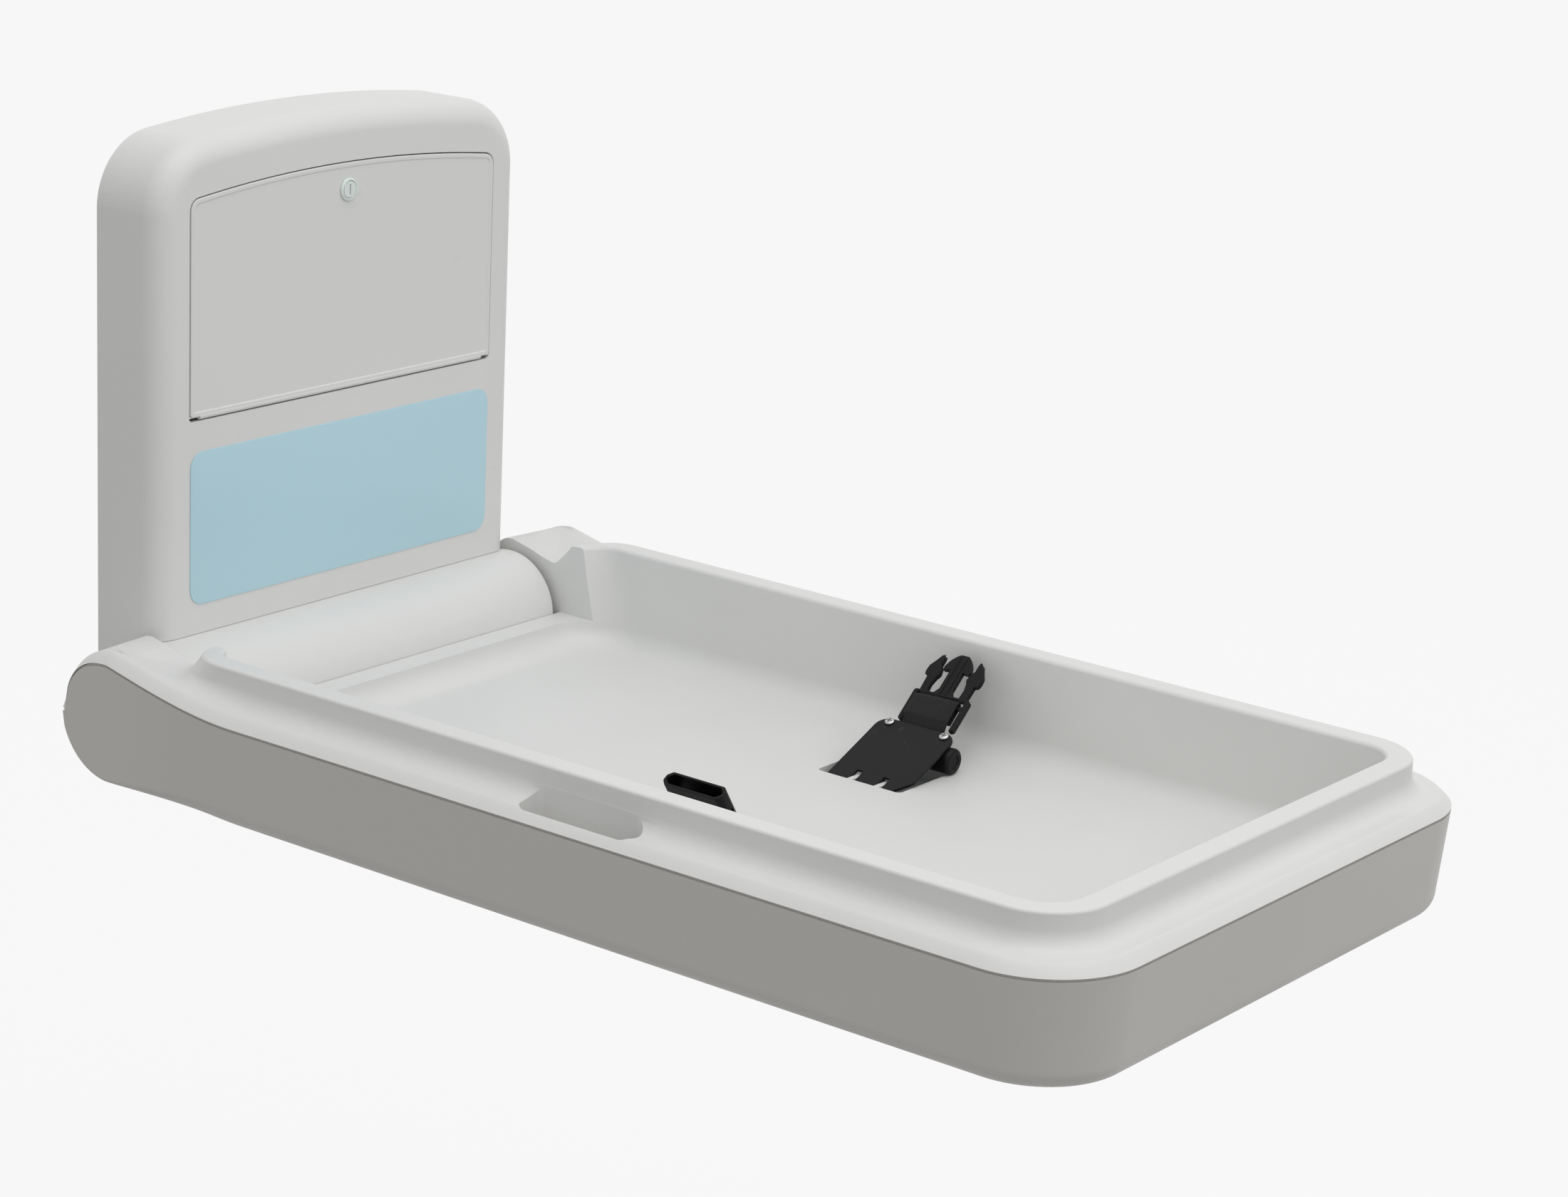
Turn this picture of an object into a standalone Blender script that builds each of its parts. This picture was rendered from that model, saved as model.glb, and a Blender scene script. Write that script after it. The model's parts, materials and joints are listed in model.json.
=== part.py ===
"""Wall-mounted baby changing station, modelled with its tray folded down.

The frame: X runs along the wall, Y points into the wall (so everything stands at negative Y),
Z is up. The origin is the centre of the steel wall plate's back face. Heights of the tray and
the housing are given from the seam between the tray's upper moulding and its lower shell, and
"out" is the distance from the wall.
"""

import math

import bmesh
import bpy
from mathutils import Matrix, Vector

# Overall placing
SEAM_BELOW_ORIGIN = 0.150  # the tray seam, below the centre of the wall plate
SEAT_GAP = 0.0003  # between pieces that touch
RUN_GAP = 0.0001  # radial, between a shaft and its bore
OVERRUN = 0.002  # how far a cutter passes the face that it cuts
WELD_WITHIN = 0.00001

# Tray plan
TRAY_HALF_WIDTH = 0.250
TRAY_REACH = 0.8812  # from the wall to the outer end
TRAY_CORNER_R = 0.0684
WALL = 0.003  # of every moulding

# Seam and bulb ends of the arms
SEAM_GROOVE = 0.002
BULB_OUT = 0.078
BULB_BELOW = 0.020
BULB_R = 0.047
SEAM_CURVE_R = 0.041
SEAM_CURVE_RISE = 0.0382
SEAM_END_BELOW = 0.0236
SEAM_END_OUT = 0.0366
ARM_RUN_OUT = 0.200  # the seam is level from here outwards

# Lip and ledge of the upper moulding
LIP_WIDTH = 0.0087
LIP_RISE = 0.0083
LEDGE_FLAT = 0.0058
LEDGE_COVE_R = 0.012
ARM_DIP = 0.0085
ARM_DIP_START = 0.055
ARM_DIP_END = 0.080
ARM_DIP_INSET = 0.045
HOOK_START_OUT = 0.150  # where the rim begins its turn into the hook
HOOK_END_OUT = 0.110

# Rim round the tub
RIM_TOP = 0.032
RIM_WIDTH = 0.0188
RIM_OUTER_FILLET = 0.0022
RIM_INNER_FILLET = 0.0030
RIM_DRAFT = 0.0003
RIM_CORNER_SPREAD = 0.003  # the rim's end corners are this much rounder than concentric ones
HOOK_TOP = 0.0278
HOOK_FOOT_OUT = 0.1065
HOOK_BACK_SLOPE = 0.0095
HOOK_R = 0.028
HOOK_INNER_OUT = 0.1275
HOOK_INNER_R = 0.012
BACKING_CORNER_SHARE = 2.5
LIP_BACKING_SHARE = 0.7

# Tub
FLOOR_BELOW = 0.045
FLOOR_FILLET = 0.018
TUB_DRAFT = 0.0022
SILL_BELOW = 0.025
SILL_FRONT_OUT = 0.130
TUB_BACK_R = 0.046
ARM_WIDE = 0.060  # from the tray's side to the cheek beside the barrel
CHEEK_X = TRAY_HALF_WIDTH - ARM_WIDE
CHEEK_WALL = 0.003
INNER_DEPTH = 0.062  # how far down the cheeks and the wall behind the barrel reach
BARREL_WALL_ANGLE = math.radians(42)

# Lower shell
SHELL_BOTTOM_BELOW = 0.0731
SHELL_DRAFT = 0.0050
SHELL_EDGE_R = 0.014
SHELL_RUN_OUT = ARM_RUN_OUT

# Hinge
HINGE_OUT = 0.066
HINGE_BELOW = 0.028
BARREL_R = 0.045
BARREL_END_GAP = 0.0045  # from the barrel's end to the cheek
BARREL_HALF = CHEEK_X - BARREL_END_GAP
BARREL_EDGE_R = 0.004
BARREL_SLOT_HALF = 0.024
SHAFT_R = 0.008
SHAFT_PROUD = 0.0035  # past the arm plates
BUSH_WALL = 0.003
BUSH_FLANGE_R = 0.014
BUSH_FLANGE = 0.0015
BRACKET_INSET = 0.0355  # from the barrel's end
BRACKET_X = BARREL_HALF - BRACKET_INSET
BRACKET_THICK = 0.004
BRACKET_EYE_R = 0.020
BRACKET_FOOT_HALF = 0.045
BRACKET_FOOT_WIDE = 0.026
BRACKET_FOOT_BELOW = HINGE_BELOW + BRACKET_EYE_R / 2
DAMPER_R = 0.026
DAMPER_LONG = 0.046
DAMPER_BOSS_R = 0.015
DAMPER_BOSS = 0.006
ARM_PLATE_THICK = 0.005
ARM_PLATE_INSET = 0.0345  # from the tray's side
ARM_PLATE_X = TRAY_HALF_WIDTH - ARM_PLATE_INSET
SHAFT_HALF = ARM_PLATE_X + ARM_PLATE_THICK + SHAFT_PROUD
ARM_PLATE_EYE_R = 0.022
ARM_PLATE_REACH = 0.190
ARM_PLATE_DEEP = 0.024
STOP_LEVER_THICK = 0.006
STOP_LEVER_R = 0.014
STOP_LEVER_REACH = 0.036
STOP_INSET = 0.080  # from the bracket
STOP_X = BRACKET_X - STOP_INSET
RAIL_WIDE = 0.015
RAIL_DEEP = 0.022
FRAME_END_INSET = 0.0812  # from the tray's outer end
RAIL_REACH = TRAY_REACH - FRAME_END_INSET
CROSS_INSET = 0.024  # from the tray's side
CROSS_HALF = TRAY_HALF_WIDTH - CROSS_INSET
CROSS_WIDE = 0.025
CROSS_DEEP = 0.014
CROSS_SHARES = (0.3, 0.75)

# Housing on the wall
HOUSING_SIDE_GAP = 0.004  # from the housing's side to the cheek
HOUSING_HALF = CHEEK_X - HOUSING_SIDE_GAP
HOUSING_DEEP = 0.0616
HOUSING_TOP = 0.379
HOUSING_BOTTOM_BELOW = 0.070
HOUSING_ARCH_R = 1.2
HOUSING_SHOULDER_R = 0.052
HOUSING_EDGE_R = 0.018
HOUSING_FOOT_R = 0.006
PLATE_HALF = HOUSING_HALF - WALL - SEAT_GAP
PLATE_BELOW = 0.205
PLATE_ABOVE = 0.165
PLATE_THICK = 0.0025
PLATE_CORNER_R = 0.012
PLATE_HOLE_R = 0.004
PLATE_HOLE_SIDE_INSET = 0.0577
PLATE_HOLE_X = PLATE_HALF - PLATE_HOLE_SIDE_INSET
PLATE_HOLE_INSET = 0.035

# Liner door and its compartment
DOOR_SIDE_INSET = 0.0306  # from the housing's side
DOOR_HALF = HOUSING_HALF - DOOR_SIDE_INSET
DOOR_BOTTOM = 0.1735
DOOR_TOP = 0.340
DOOR_CORNER_R = 0.009
DOORWAY_FOOT_R = 0.003  # small, so that the opening door's lower corners pass
DOOR_THICK = 0.003
DOOR_GAP = 0.0008
DOOR_BEAD_R = 0.0024
DOOR_PIVOT_R = 0.0008
DOOR_PIVOT_LONG = 0.0022
DOOR_RAISE = 0.0006
DOOR_LINE_INSET = 0.0048
DOOR_LINE_WIDE = 0.0012
DOOR_LINE_DEEP = 0.0007
BIN_DEEP = 0.045
BIN_WALL = 0.002

# Lock in the door
LOCK_HEIGHT = 0.3206
LOCK_R = 0.0085
LOCK_PROUD = 0.0014
LOCK_BARREL_R = 0.0066
LOCK_BARREL_LONG = 0.016
LOCK_SLOT_LONG = 0.0090
LOCK_SLOT_WIDE = 0.0016
LOCK_SLOT_DEEP = 0.0012
LOCK_NUT_R = 0.0105
LOCK_NUT_THICK = 0.0035
CAM_LONG = 0.026
CAM_WIDE = 0.011
CAM_THICK = 0.0018

# Plain label plate
LABEL_HALF = DOOR_HALF
LABEL_BOTTOM = 0.0385
LABEL_TOP = 0.1505
LABEL_CORNER_R = 0.012
LABEL_THICK = 0.0006

# Finger recess in the ledge of the -X side
RECESS_START_OUT = 0.447
RECESS_END_OUT = 0.543
RECESS_OUTER_INSET = 0.0062
RECESS_INNER_INSET = 0.0262
RECESS_BELOW = 0.012
RECESS_CORNER_R = 0.008

# Strap pockets in the tub floor
POCKET_SIDE_INSET = 0.171  # from the tray's side to the pocket's inner end
POCKET_INNER_X = TRAY_HALF_WIDTH - POCKET_SIDE_INSET
POCKET_LONG = 0.066
POCKET_WIDE = 0.072
POCKET_OUT = 0.484
POCKET_DEEP = 0.012
POCKET_CORNER_R = 0.004

# Strap cassette of the +X side
CASSETTE_HINGE_ALONG = 0.0115  # from the pocket's inner end
CASSETTE_HINGE_X = POCKET_INNER_X + CASSETTE_HINGE_ALONG
CASSETTE_TILT = math.radians(23.6)
CASSETTE_LONG = 0.0605
CASSETTE_WIDE = 0.066
CASSETTE_EDGE_ALONG = 0.0026  # the plate's inner edge, which clears the pin's lugs as it lifts
CASSETTE_OUT = 0.488
CASSETTE_THICK = 0.0022
CASSETTE_CUT_LONG = 0.0135
CASSETTE_CUT_WIDE = 0.0100
CASSETTE_CORNER_R = 0.010
PIN_R = 0.0018
KNUCKLE_R = 0.0042
KNUCKLE_LONG = 0.018
LUG_LONG = 0.008
REEL_R = 0.0095
REEL_LONG = 0.062
REEL_ALONG = 0.047
REEL_OUT = 0.494
SCREW_HEAD_R = 0.0036
SCREW_HEAD_RISE = 0.0017
SCREW_ALONG = 0.0563
SCREW_NEAR_OUT = 0.4645
SCREW_FAR_OUT = 0.512

# Webbing and buckle
WEB_WIDE = 0.040
WEB_THICK = 0.0014
BUCKLE_TILT = math.radians(38)
BUCKLE_TURN = math.radians(3.5)
BUCKLE_ALONG = 0.0685  # from the pocket's inner end
BUCKLE_X = POCKET_INNER_X + BUCKLE_ALONG
BUCKLE_BELOW = 0.0190
BUCKLE_OUT = 0.491
BUCKLE_WIDE = 0.048
BUCKLE_LONG = 0.028
BUCKLE_THICK = 0.0044
BUCKLE_RIM = 0.0034
BUCKLE_CORNER_R = 0.003
BUCKLE_BAR_ALONG = 0.0155
BUCKLE_BAR_WIDE = 0.0035
BUCKLE_BAR_THICK = 0.0020
PRONG_TIP = 0.060
PRONG_OUT = 0.0195
PRONG_WIDE = 0.0050
BARB_START = 0.048
BARB_WIDE = 0.0030
GUIDE_TIP = 0.0635
GUIDE_WIDE = 0.0100
SOCKET_LONG = 0.045
SOCKET_WIDE = 0.050
SOCKET_THICK = 0.012
SOCKET_CHAMFER = 0.0035
SOCKET_MOUTH_DEEP = 0.030
SOCKET_SLOT_DEEP = 0.010
SOCKET_WALL = 0.0022
SOCKET_ALONG = 0.016  # from the pocket's inner end
SOCKET_X = POCKET_INNER_X + SOCKET_ALONG
SOCKET_BELOW = 0.035
SOCKET_OUT = 0.4955
SOCKET_LEAN = math.radians(123)
ANCHOR_ALONG = 0.018  # from the pocket's inner end
ANCHOR_X = POCKET_INNER_X + ANCHOR_ALONG
ANCHOR_LONG = 0.030
ANCHOR_THICK = 0.0020
ANCHOR_BAR_R = 0.0018
ANCHOR_BAR_RISE = 0.0062
ANCHOR_LUG_LONG = 0.0060
ANCHOR_LUG_WIDE = 0.0035
ANCHOR_WIDE = WEB_WIDE + 2 * (ANCHOR_LUG_WIDE + SEAT_GAP)
ANCHOR_SCREW_SHARE = 0.70
ANCHOR_SCREW_SPREAD = 0.015

# Underside screws
SHELL_SCREW_R = 0.0050
SHELL_SCREW_RISE = 0.0022
SHELL_SCREW_INSET = 0.040
SHELL_RECESS_R = 0.0075
SHELL_RECESS_DEEP = 0.0008
SHELL_SCREW_FIRST_OUT = 0.180
SHELL_SCREW_MIDDLE_OUT = 0.480
SHELL_SCREW_OUTS = (SHELL_SCREW_FIRST_OUT, SHELL_SCREW_MIDDLE_OUT, RAIL_REACH)

# Facets
CORNER_STEPS = 7
BACK_STEPS = 5
BULB_SHARES = (0.18, 0.3, 0.4, 0.52, 0.66, 0.82)
ARM_SHARES = (0.0, 0.2, 0.4, 0.6, 0.8, 1.0)
FAR_SHARES = (0.33, 0.67)
SIDE_STATION_GAP = 0.002
ROUND_SIDES = 32
BARREL_SIDES = 64

# Finishes: name, colour, roughness, metallic
SHELL_WHITE = ("shell_plastic", (0.80, 0.80, 0.78), 0.45, 0.0)
DOOR_WHITE = ("door_plastic", (0.78, 0.78, 0.76), 0.42, 0.0)
LABEL_BLUE = ("label_film", (0.57, 0.77, 0.83), 0.35, 0.0)
STEEL = ("zinc_steel", (0.62, 0.63, 0.65), 0.38, 1.0)
SCREW_STEEL = ("bright_screw", (0.75, 0.75, 0.75), 0.25, 1.0)
NYLON = ("bush_nylon", (0.85, 0.84, 0.80), 0.50, 0.0)
DARK_PLASTIC = ("black_plastic", (0.02, 0.02, 0.022), 0.42, 0.0)
WEB_BLACK = ("black_webbing", (0.015, 0.015, 0.015), 0.85, 0.0)
LOCK_PALE = ("lock_plastic", (0.76, 0.80, 0.80), 0.35, 0.0)

FULL_TURN = 2 * math.pi
QUARTER = math.pi / 2
SEAM_SHAPE_EXPONENT = 2.3
BULB_SEAM_TURN = math.asin((SEAM_END_BELOW - BULB_BELOW) / BULB_R)
LIP_SHAPE_EXPONENT = 1.25


def material(finish):
    """The Principled material of one finish, made once."""
    name, colour, roughness, metallic = finish
    found = bpy.data.materials.get(name)
    if found:
        return found
    made = bpy.data.materials.new(name)
    made.use_nodes = True
    shader = made.node_tree.nodes["Principled BSDF"]
    shader.inputs["Base Color"].default_value = (*colour, 1)
    shader.inputs["Roughness"].default_value = roughness
    shader.inputs["Metallic"].default_value = metallic
    return made


def to_world(x, out, height):
    """A point from its X, its distance from the wall and its height over the seam."""
    return Vector((x, -out, height - SEAM_BELOW_ORIGIN))


def obj_from(name, mesh_bm, finish, smooth=True):
    """A Blender object from a bmesh, with outward normals and its finish."""
    bmesh.ops.recalc_face_normals(mesh_bm, faces=mesh_bm.faces)
    if mesh_bm.calc_volume(signed=True) < 0:
        bmesh.ops.reverse_faces(mesh_bm, faces=mesh_bm.faces)
    data = bpy.data.meshes.new(name)
    mesh_bm.to_mesh(data)
    mesh_bm.free()
    if smooth:
        data.shade_smooth()
        data.set_sharp_from_angle(angle=math.radians(35))
    made = bpy.data.objects.new(name, data)
    bpy.context.scene.collection.objects.link(made)
    if finish:
        data.materials.append(material(finish))
    return made


def as_cutter(made):
    """Marks an object as a helper that only cuts or joins."""
    made.hide_render = True
    made.display_type = "WIRE"
    return made


def boolean(target, other, operation):
    """Adds an exact Boolean to the target."""
    as_cutter(other)
    modifier = target.modifiers.new(operation.lower() + "_" + other.name, "BOOLEAN")
    modifier.operation = operation
    modifier.solver = "EXACT"
    modifier.object = other
    weld = target.modifiers.new("weld_" + other.name, "WELD")
    weld.merge_threshold = WELD_WITHIN
    return target


def cut(target, other):
    return boolean(target, other, "DIFFERENCE")


def join(target, other):
    return boolean(target, other, "UNION")


def set_origin(made, point):
    """Moves an object's origin to a world point without moving its mesh."""
    made.data.transform(Matrix.Translation(-Vector(point)))
    made.location = point


def ladder_cap(mesh_bm, loop):
    """Closes a ring whose points mirror across X with rungs, so that the cap may bend."""
    half = len(loop) // 2
    first = 3
    mesh_bm.faces.new(loop[: first + 1] + loop[-first:])
    for i in range(first, half - 2):
        mesh_bm.faces.new((loop[i], loop[i + 1], loop[-i - 1], loop[-i]))
    mesh_bm.faces.new(loop[half - 2 : half + 3])


def loft(name, rings, finish=None, ladder=False):
    """A closed body through rings of equal point counts, its first and last ring capped."""
    mesh_bm = bmesh.new()
    loops = [[mesh_bm.verts.new(point) for point in ring] for ring in rings]
    for near, far in zip(loops, loops[1:]):
        for i in range(len(near)):
            j = (i + 1) % len(near)
            mesh_bm.faces.new((near[i], near[j], far[j], far[i]))
    if ladder:
        ladder_cap(mesh_bm, loops[0])
    else:
        mesh_bm.faces.new(loops[0])
    mesh_bm.faces.new(loops[-1])
    bmesh.ops.triangulate(mesh_bm, faces=mesh_bm.faces)
    return obj_from(name, mesh_bm, finish)


def prism(name, outline, start, stop, finish=None, axis="X"):
    """An outline pushed along an axis: (out, height) for X, (x, height) for Y, (x, out) for Z."""
    place = {
        "X": lambda a, b, t: to_world(t, a, b),
        "Y": lambda a, b, t: to_world(a, t, b),
        "Z": lambda a, b, t: to_world(a, b, t),
    }[axis]
    mesh_bm = bmesh.new()
    face = mesh_bm.faces.new([mesh_bm.verts.new(place(a, b, start)) for a, b in outline])
    pushed = bmesh.ops.extrude_face_region(mesh_bm, geom=[face])
    moved = [item for item in pushed["geom"] if isinstance(item, bmesh.types.BMVert)]
    a, b = outline[0]
    bmesh.ops.translate(mesh_bm, verts=moved, vec=place(a, b, stop) - place(a, b, start))
    return obj_from(name, mesh_bm, finish)


def turned(name, profile, centre, direction, finish=None, sides=ROUND_SIDES):
    """A profile of (radius, along) points spun about a line; a point at radius 0 is on the line."""
    mesh_bm = bmesh.new()
    turn = Vector((0, 0, 1)).rotation_difference(Vector(direction)).to_matrix().to_4x4()
    place = Matrix.Translation(centre) @ turn
    rows = []
    for radius, along in profile:
        if radius == 0:
            rows.append([mesh_bm.verts.new(place @ Vector((0, 0, along)))])
            continue
        row = []
        for i in range(sides):
            angle = FULL_TURN * (i + 0.5) / sides
            spot = Vector((radius * math.cos(angle), radius * math.sin(angle), along))
            row.append(mesh_bm.verts.new(place @ spot))
        rows.append(row)
    closed = profile[0][0] != 0
    pairs = list(zip(rows, rows[1:] + ([rows[0]] if closed else [])))
    for near, far in pairs[: len(rows) if closed else len(rows) - 1]:
        for i in range(sides):
            j = (i + 1) % sides
            ring = [near[i % len(near)], near[j % len(near)], far[j % len(far)], far[i % len(far)]]
            unique = list(dict.fromkeys(ring))
            mesh_bm.faces.new(unique)
    return obj_from(name, mesh_bm, finish)


def box(name, low, high, finish=None):
    """A box between two corners given as (x, out, height)."""
    outline = [(low[0], low[1]), (high[0], low[1]), (high[0], high[1]), (low[0], high[1])]
    return prism(name, outline, low[2], high[2], finish, axis="Z")


def arc(centre, radius, start, stop, steps):
    """Points on an arc, from one angle to another, both ends included."""
    cx, cy = centre
    angles = [start + (stop - start) * i / steps for i in range(steps + 1)]
    return [(cx + radius * math.cos(a), cy + radius * math.sin(a)) for a in angles]


def rounded_box(low, high, radius, steps=CORNER_STEPS):
    """A rectangle outline with round corners."""
    (x0, y0), (x1, y1) = low, high
    corners = (
        ((x1 - radius, y1 - radius), 0),
        ((x0 + radius, y1 - radius), QUARTER),
        ((x0 + radius, y0 + radius), 2 * QUARTER),
        ((x1 - radius, y0 + radius), 3 * QUARTER),
    )
    points = []
    for centre, start in corners:
        points += arc(centre, radius, start, start + QUARTER, steps)
    return points


def smooth_step(share):
    share = min(max(share, 0.0), 1.0)
    return share * share * (3 - 2 * share)


def blend(first, second, share):
    return first + (second - first) * share


def seam_height(out):
    """The seam's height over its level stretch: it climbs over the arms and round their ends."""
    if out >= BULB_OUT:
        share = min((out - BULB_OUT) / (ARM_RUN_OUT - BULB_OUT), 1.0)
        top = SEAM_CURVE_RISE - BULB_BELOW
        return top * (1 - share) ** 2 * (1 + share / 2)
    share = (BULB_OUT - out) / SEAM_CURVE_R
    if share >= 1:
        return -SEAM_END_BELOW
    rise = (1 - share**SEAM_SHAPE_EXPONENT) ** (1 / SEAM_SHAPE_EXPONENT)
    return SEAM_CURVE_RISE * rise - BULB_BELOW


def bulb_height(out, radius=BULB_R):
    """The upper half of an arm's round end, seen from the side."""
    share = min(abs(out - BULB_OUT) / radius, 1.0)
    return radius * math.sqrt(1 - share * share) - BULB_BELOW


def lip_top(out):
    """The height of the lip's inner edge."""
    if out < BULB_OUT:
        return bulb_height(out)
    top = bulb_height(BULB_OUT) - seam_height(BULB_OUT)
    share = smooth_step((out - BULB_OUT) / (ARM_RUN_OUT - BULB_OUT))
    return seam_height(out) + blend(top, LIP_RISE, share)


def arm_height(inset, out):
    """The top of an arm: it dips behind the rim's hook, towards the housing side."""
    across = smooth_step((inset - LIP_WIDTH) / (ARM_DIP_INSET - LIP_WIDTH))
    along = smooth_step((out - ARM_DIP_START) / (ARM_DIP_END - ARM_DIP_START))
    return lip_top(out) - ARM_DIP * across * along


def hook_share(out):
    return smooth_step((HOOK_START_OUT - out) / (HOOK_START_OUT - HOOK_END_OUT))


def side_stations(first, last):
    """Places along a long side, closer together round the bulb end, from one out to another."""
    shared = [BULB_OUT - BULB_R * math.cos(QUARTER * share) for share in BULB_SHARES]
    shared += [blend(BULB_OUT, ARM_RUN_OUT, share) for share in ARM_SHARES]
    kept = [out for out in shared if out > first + SIDE_STATION_GAP]
    missing = len(shared) - len(kept)
    head = kept[0]
    added = [blend(first, head, (i + 1) / (missing + 1)) for i in range(missing)]
    far = [blend(ARM_RUN_OUT, last, share) for share in FAR_SHARES]
    return added + kept + far


def plan_ring(inset, back_out, back_r, corner_spread=0.0):
    """A tray ring in plan, as (x, out) points from the wall side round the +X side and back."""
    half = TRAY_HALF_WIDTH - inset
    end = TRAY_REACH - inset
    end_r = max(TRAY_CORNER_R - inset + corner_spread, FLOOR_FILLET)
    near = [(0.0, back_out), ((half - back_r) / 2, back_out)]
    near += arc((half - back_r, back_out + back_r), back_r, -QUARTER, 0, BACK_STEPS)
    near += [(half, out) for out in side_stations(back_out + back_r, end - end_r)]
    near += arc((half - end_r, end - end_r), end_r, 0, QUARTER, CORNER_STEPS)
    near.append((0.0, end))
    mirrored = [(-x, out) for x, out in reversed(near[1:-1])]
    return near + mirrored


def ring_at(inset, back_out, back_r, height, corner_spread=0.0):
    """A tray ring in space; the height is a function of (inset from the outline, out)."""
    points = []
    for x, out in plan_ring(inset, back_out, back_r, corner_spread):
        from_side = TRAY_HALF_WIDTH - abs(x)
        points.append(to_world(x, out, height(from_side, out)))
    return points


def level(height):
    return lambda _, out: height


def upper_rings(skin):
    """Rings of a solid that ends at the upper moulding's outside (skin 0) or underside (WALL).

    Every ring lies inside the one before it in plan, so that the surface can't fold.
    """
    foot = SEAM_GROOVE / 2
    ledge_start = LIP_WIDTH + LEDGE_FLAT
    wall_inset = ledge_start + LEDGE_COVE_R
    cove_top = LIP_RISE + LEDGE_COVE_R
    back_out = BULB_OUT - BULB_R + skin
    nest = SEAT_GAP
    rings = []

    def add(inset, back, back_r, height, spread=0.0):
        rings.append(ring_at(inset, back, back_r, height, spread))

    tube_out = BULB_OUT - BULB_R
    turn = tube_out - nest + LIP_WIDTH / 2  # where every corner here ends
    if skin:
        over = foot + nest / 2
        back = tube_out + nest / 3
        add(skin, back, turn - back, level(-INNER_DEPTH - OVERRUN))
        add(skin, back, turn - back, lambda _, out: seam_height(out) + over)
    else:
        tube = WALL + nest
        back = tube_out + nest
        add(tube, back, turn - back, level(-INNER_DEPTH))
        add(tube, back, turn - back, lambda _, out: seam_height(out) + foot)
    # The lip, convex from the seam inwards
    lip_shares = (0.0, 0.12, 0.35, 0.65, 1.0) if not skin else (0.0, 1.0)
    for share in lip_shares:
        inset = blend(skin and skin + nest, LIP_WIDTH, share)
        rise_share = 1 - (1 - max(inset / LIP_WIDTH, 0)) ** LIP_SHAPE_EXPONENT

        def lip(_, out, share=share, rise_share=rise_share):
            low = seam_height(out) + foot
            drop = skin * (1 if share == 1 else LIP_BACKING_SHARE)
            return blend(low, max(lip_top(out), low), rise_share) - drop

        back = back_out + nest * (share - 1)
        add(inset, back, turn - back, lip)

    def mixed(side, arm):
        return lambda from_side, out: blend(
            side(from_side, out), arm(from_side, out), hook_share(out)
        )

    def ledge(_, out):
        return lip_top(out) - skin

    def arm(from_side, out):
        return min(arm_height(from_side, out) - skin, bulb_limit(out, skin))

    # Round the back of the bulb ends
    for share in (0.25, 0.5, 0.75, 1.0):
        back = BULB_OUT - (BULB_R - skin) * math.cos(QUARTER * share)
        add(LIP_WIDTH + LEDGE_FLAT * share, back, LIP_WIDTH, mixed(ledge, arm))
    # The ledge's cove up to the rim
    for share in (0.25, 0.5, 0.75, 1.0):
        angle = QUARTER * share
        inset = ledge_start + (LEDGE_COVE_R + skin) * math.sin(angle)
        rise_share = 1 - math.cos(angle)
        back = blend(BULB_OUT, HOOK_FOOT_OUT, share) + skin * share
        radius = blend(LIP_WIDTH, HOOK_R, share)

        def cove(_, out, rise_share=rise_share):
            low = lip_top(out)
            return blend(low, max(cove_top, low), rise_share) - skin * (1 - rise_share)

        def foot_of_hook(from_side, out, rise_share=rise_share):
            return arm_height(from_side, out) - skin * (1 - rise_share)

        add(inset, back, radius, mixed(cove, foot_of_hook), RIM_CORNER_SPREAD * share)

    def rim(side, back):
        return lambda _, out: blend(side, back, hook_share(out))

    # Up the rim's outer wall, over its top and down its inner wall
    spread = RIM_CORNER_SPREAD
    top = RIM_TOP - skin
    hook_top = HOOK_TOP - skin
    outer = wall_inset + skin + RIM_DRAFT
    inner = wall_inset + RIM_WIDTH - skin
    slope_out = HOOK_FOOT_OUT + HOOK_BACK_SLOPE + skin
    for share in (0.0, 0.5, 1.0):
        angle = QUARTER * share
        shift = RIM_OUTER_FILLET * (1 - math.cos(angle))
        drop = RIM_OUTER_FILLET * (1 - math.sin(angle))
        add(outer + shift, slope_out + shift, HOOK_R, rim(top - drop, hook_top - drop), spread)
    back = HOOK_INNER_OUT - skin
    corner = HOOK_INNER_R + skin * BACKING_CORNER_SHARE
    fillet = RIM_INNER_FILLET
    for share in (0.0, 0.5, 1.0):
        angle = QUARTER * share
        shift = fillet * (1 - math.sin(angle))
        drop = fillet * (1 - math.cos(angle))
        height = rim(top - drop, hook_top - drop)
        add(inner - shift, back - shift, corner, height, spread)
    # Down the tub wall, whose back corners open out towards the floor
    low = FLOOR_FILLET - FLOOR_BELOW
    wall_top = RIM_TOP - fillet
    for share in (0.35, 0.7, 1.0):
        inset = inner + TUB_DRAFT * share
        back = blend(HOOK_INNER_OUT, SILL_FRONT_OUT, share) - skin
        radius = blend(corner, TUB_BACK_R, share)
        side = blend(wall_top, low, share)
        add(inset, back, radius, rim(side, min(side, HOOK_TOP - fillet)), spread)
    # The floor fillet
    sweep = FLOOR_FILLET + skin
    base = inner + TUB_DRAFT
    for share in (0.25, 0.5, 0.75, 1.0):
        angle = QUARTER * share
        inset = base + sweep * (1 - math.cos(angle))
        back = SILL_FRONT_OUT - skin + sweep * (1 - math.cos(angle))
        add(inset, back, TUB_BACK_R, level(low - sweep * math.sin(angle)), spread)
    return rings


def bulb_limit(out, skin):
    """The bulb's own round top, which the arm's surface stays under, behind the bulb centre."""
    if out >= BULB_OUT:
        return RIM_TOP
    return bulb_height(out, BULB_R - skin)


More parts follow.
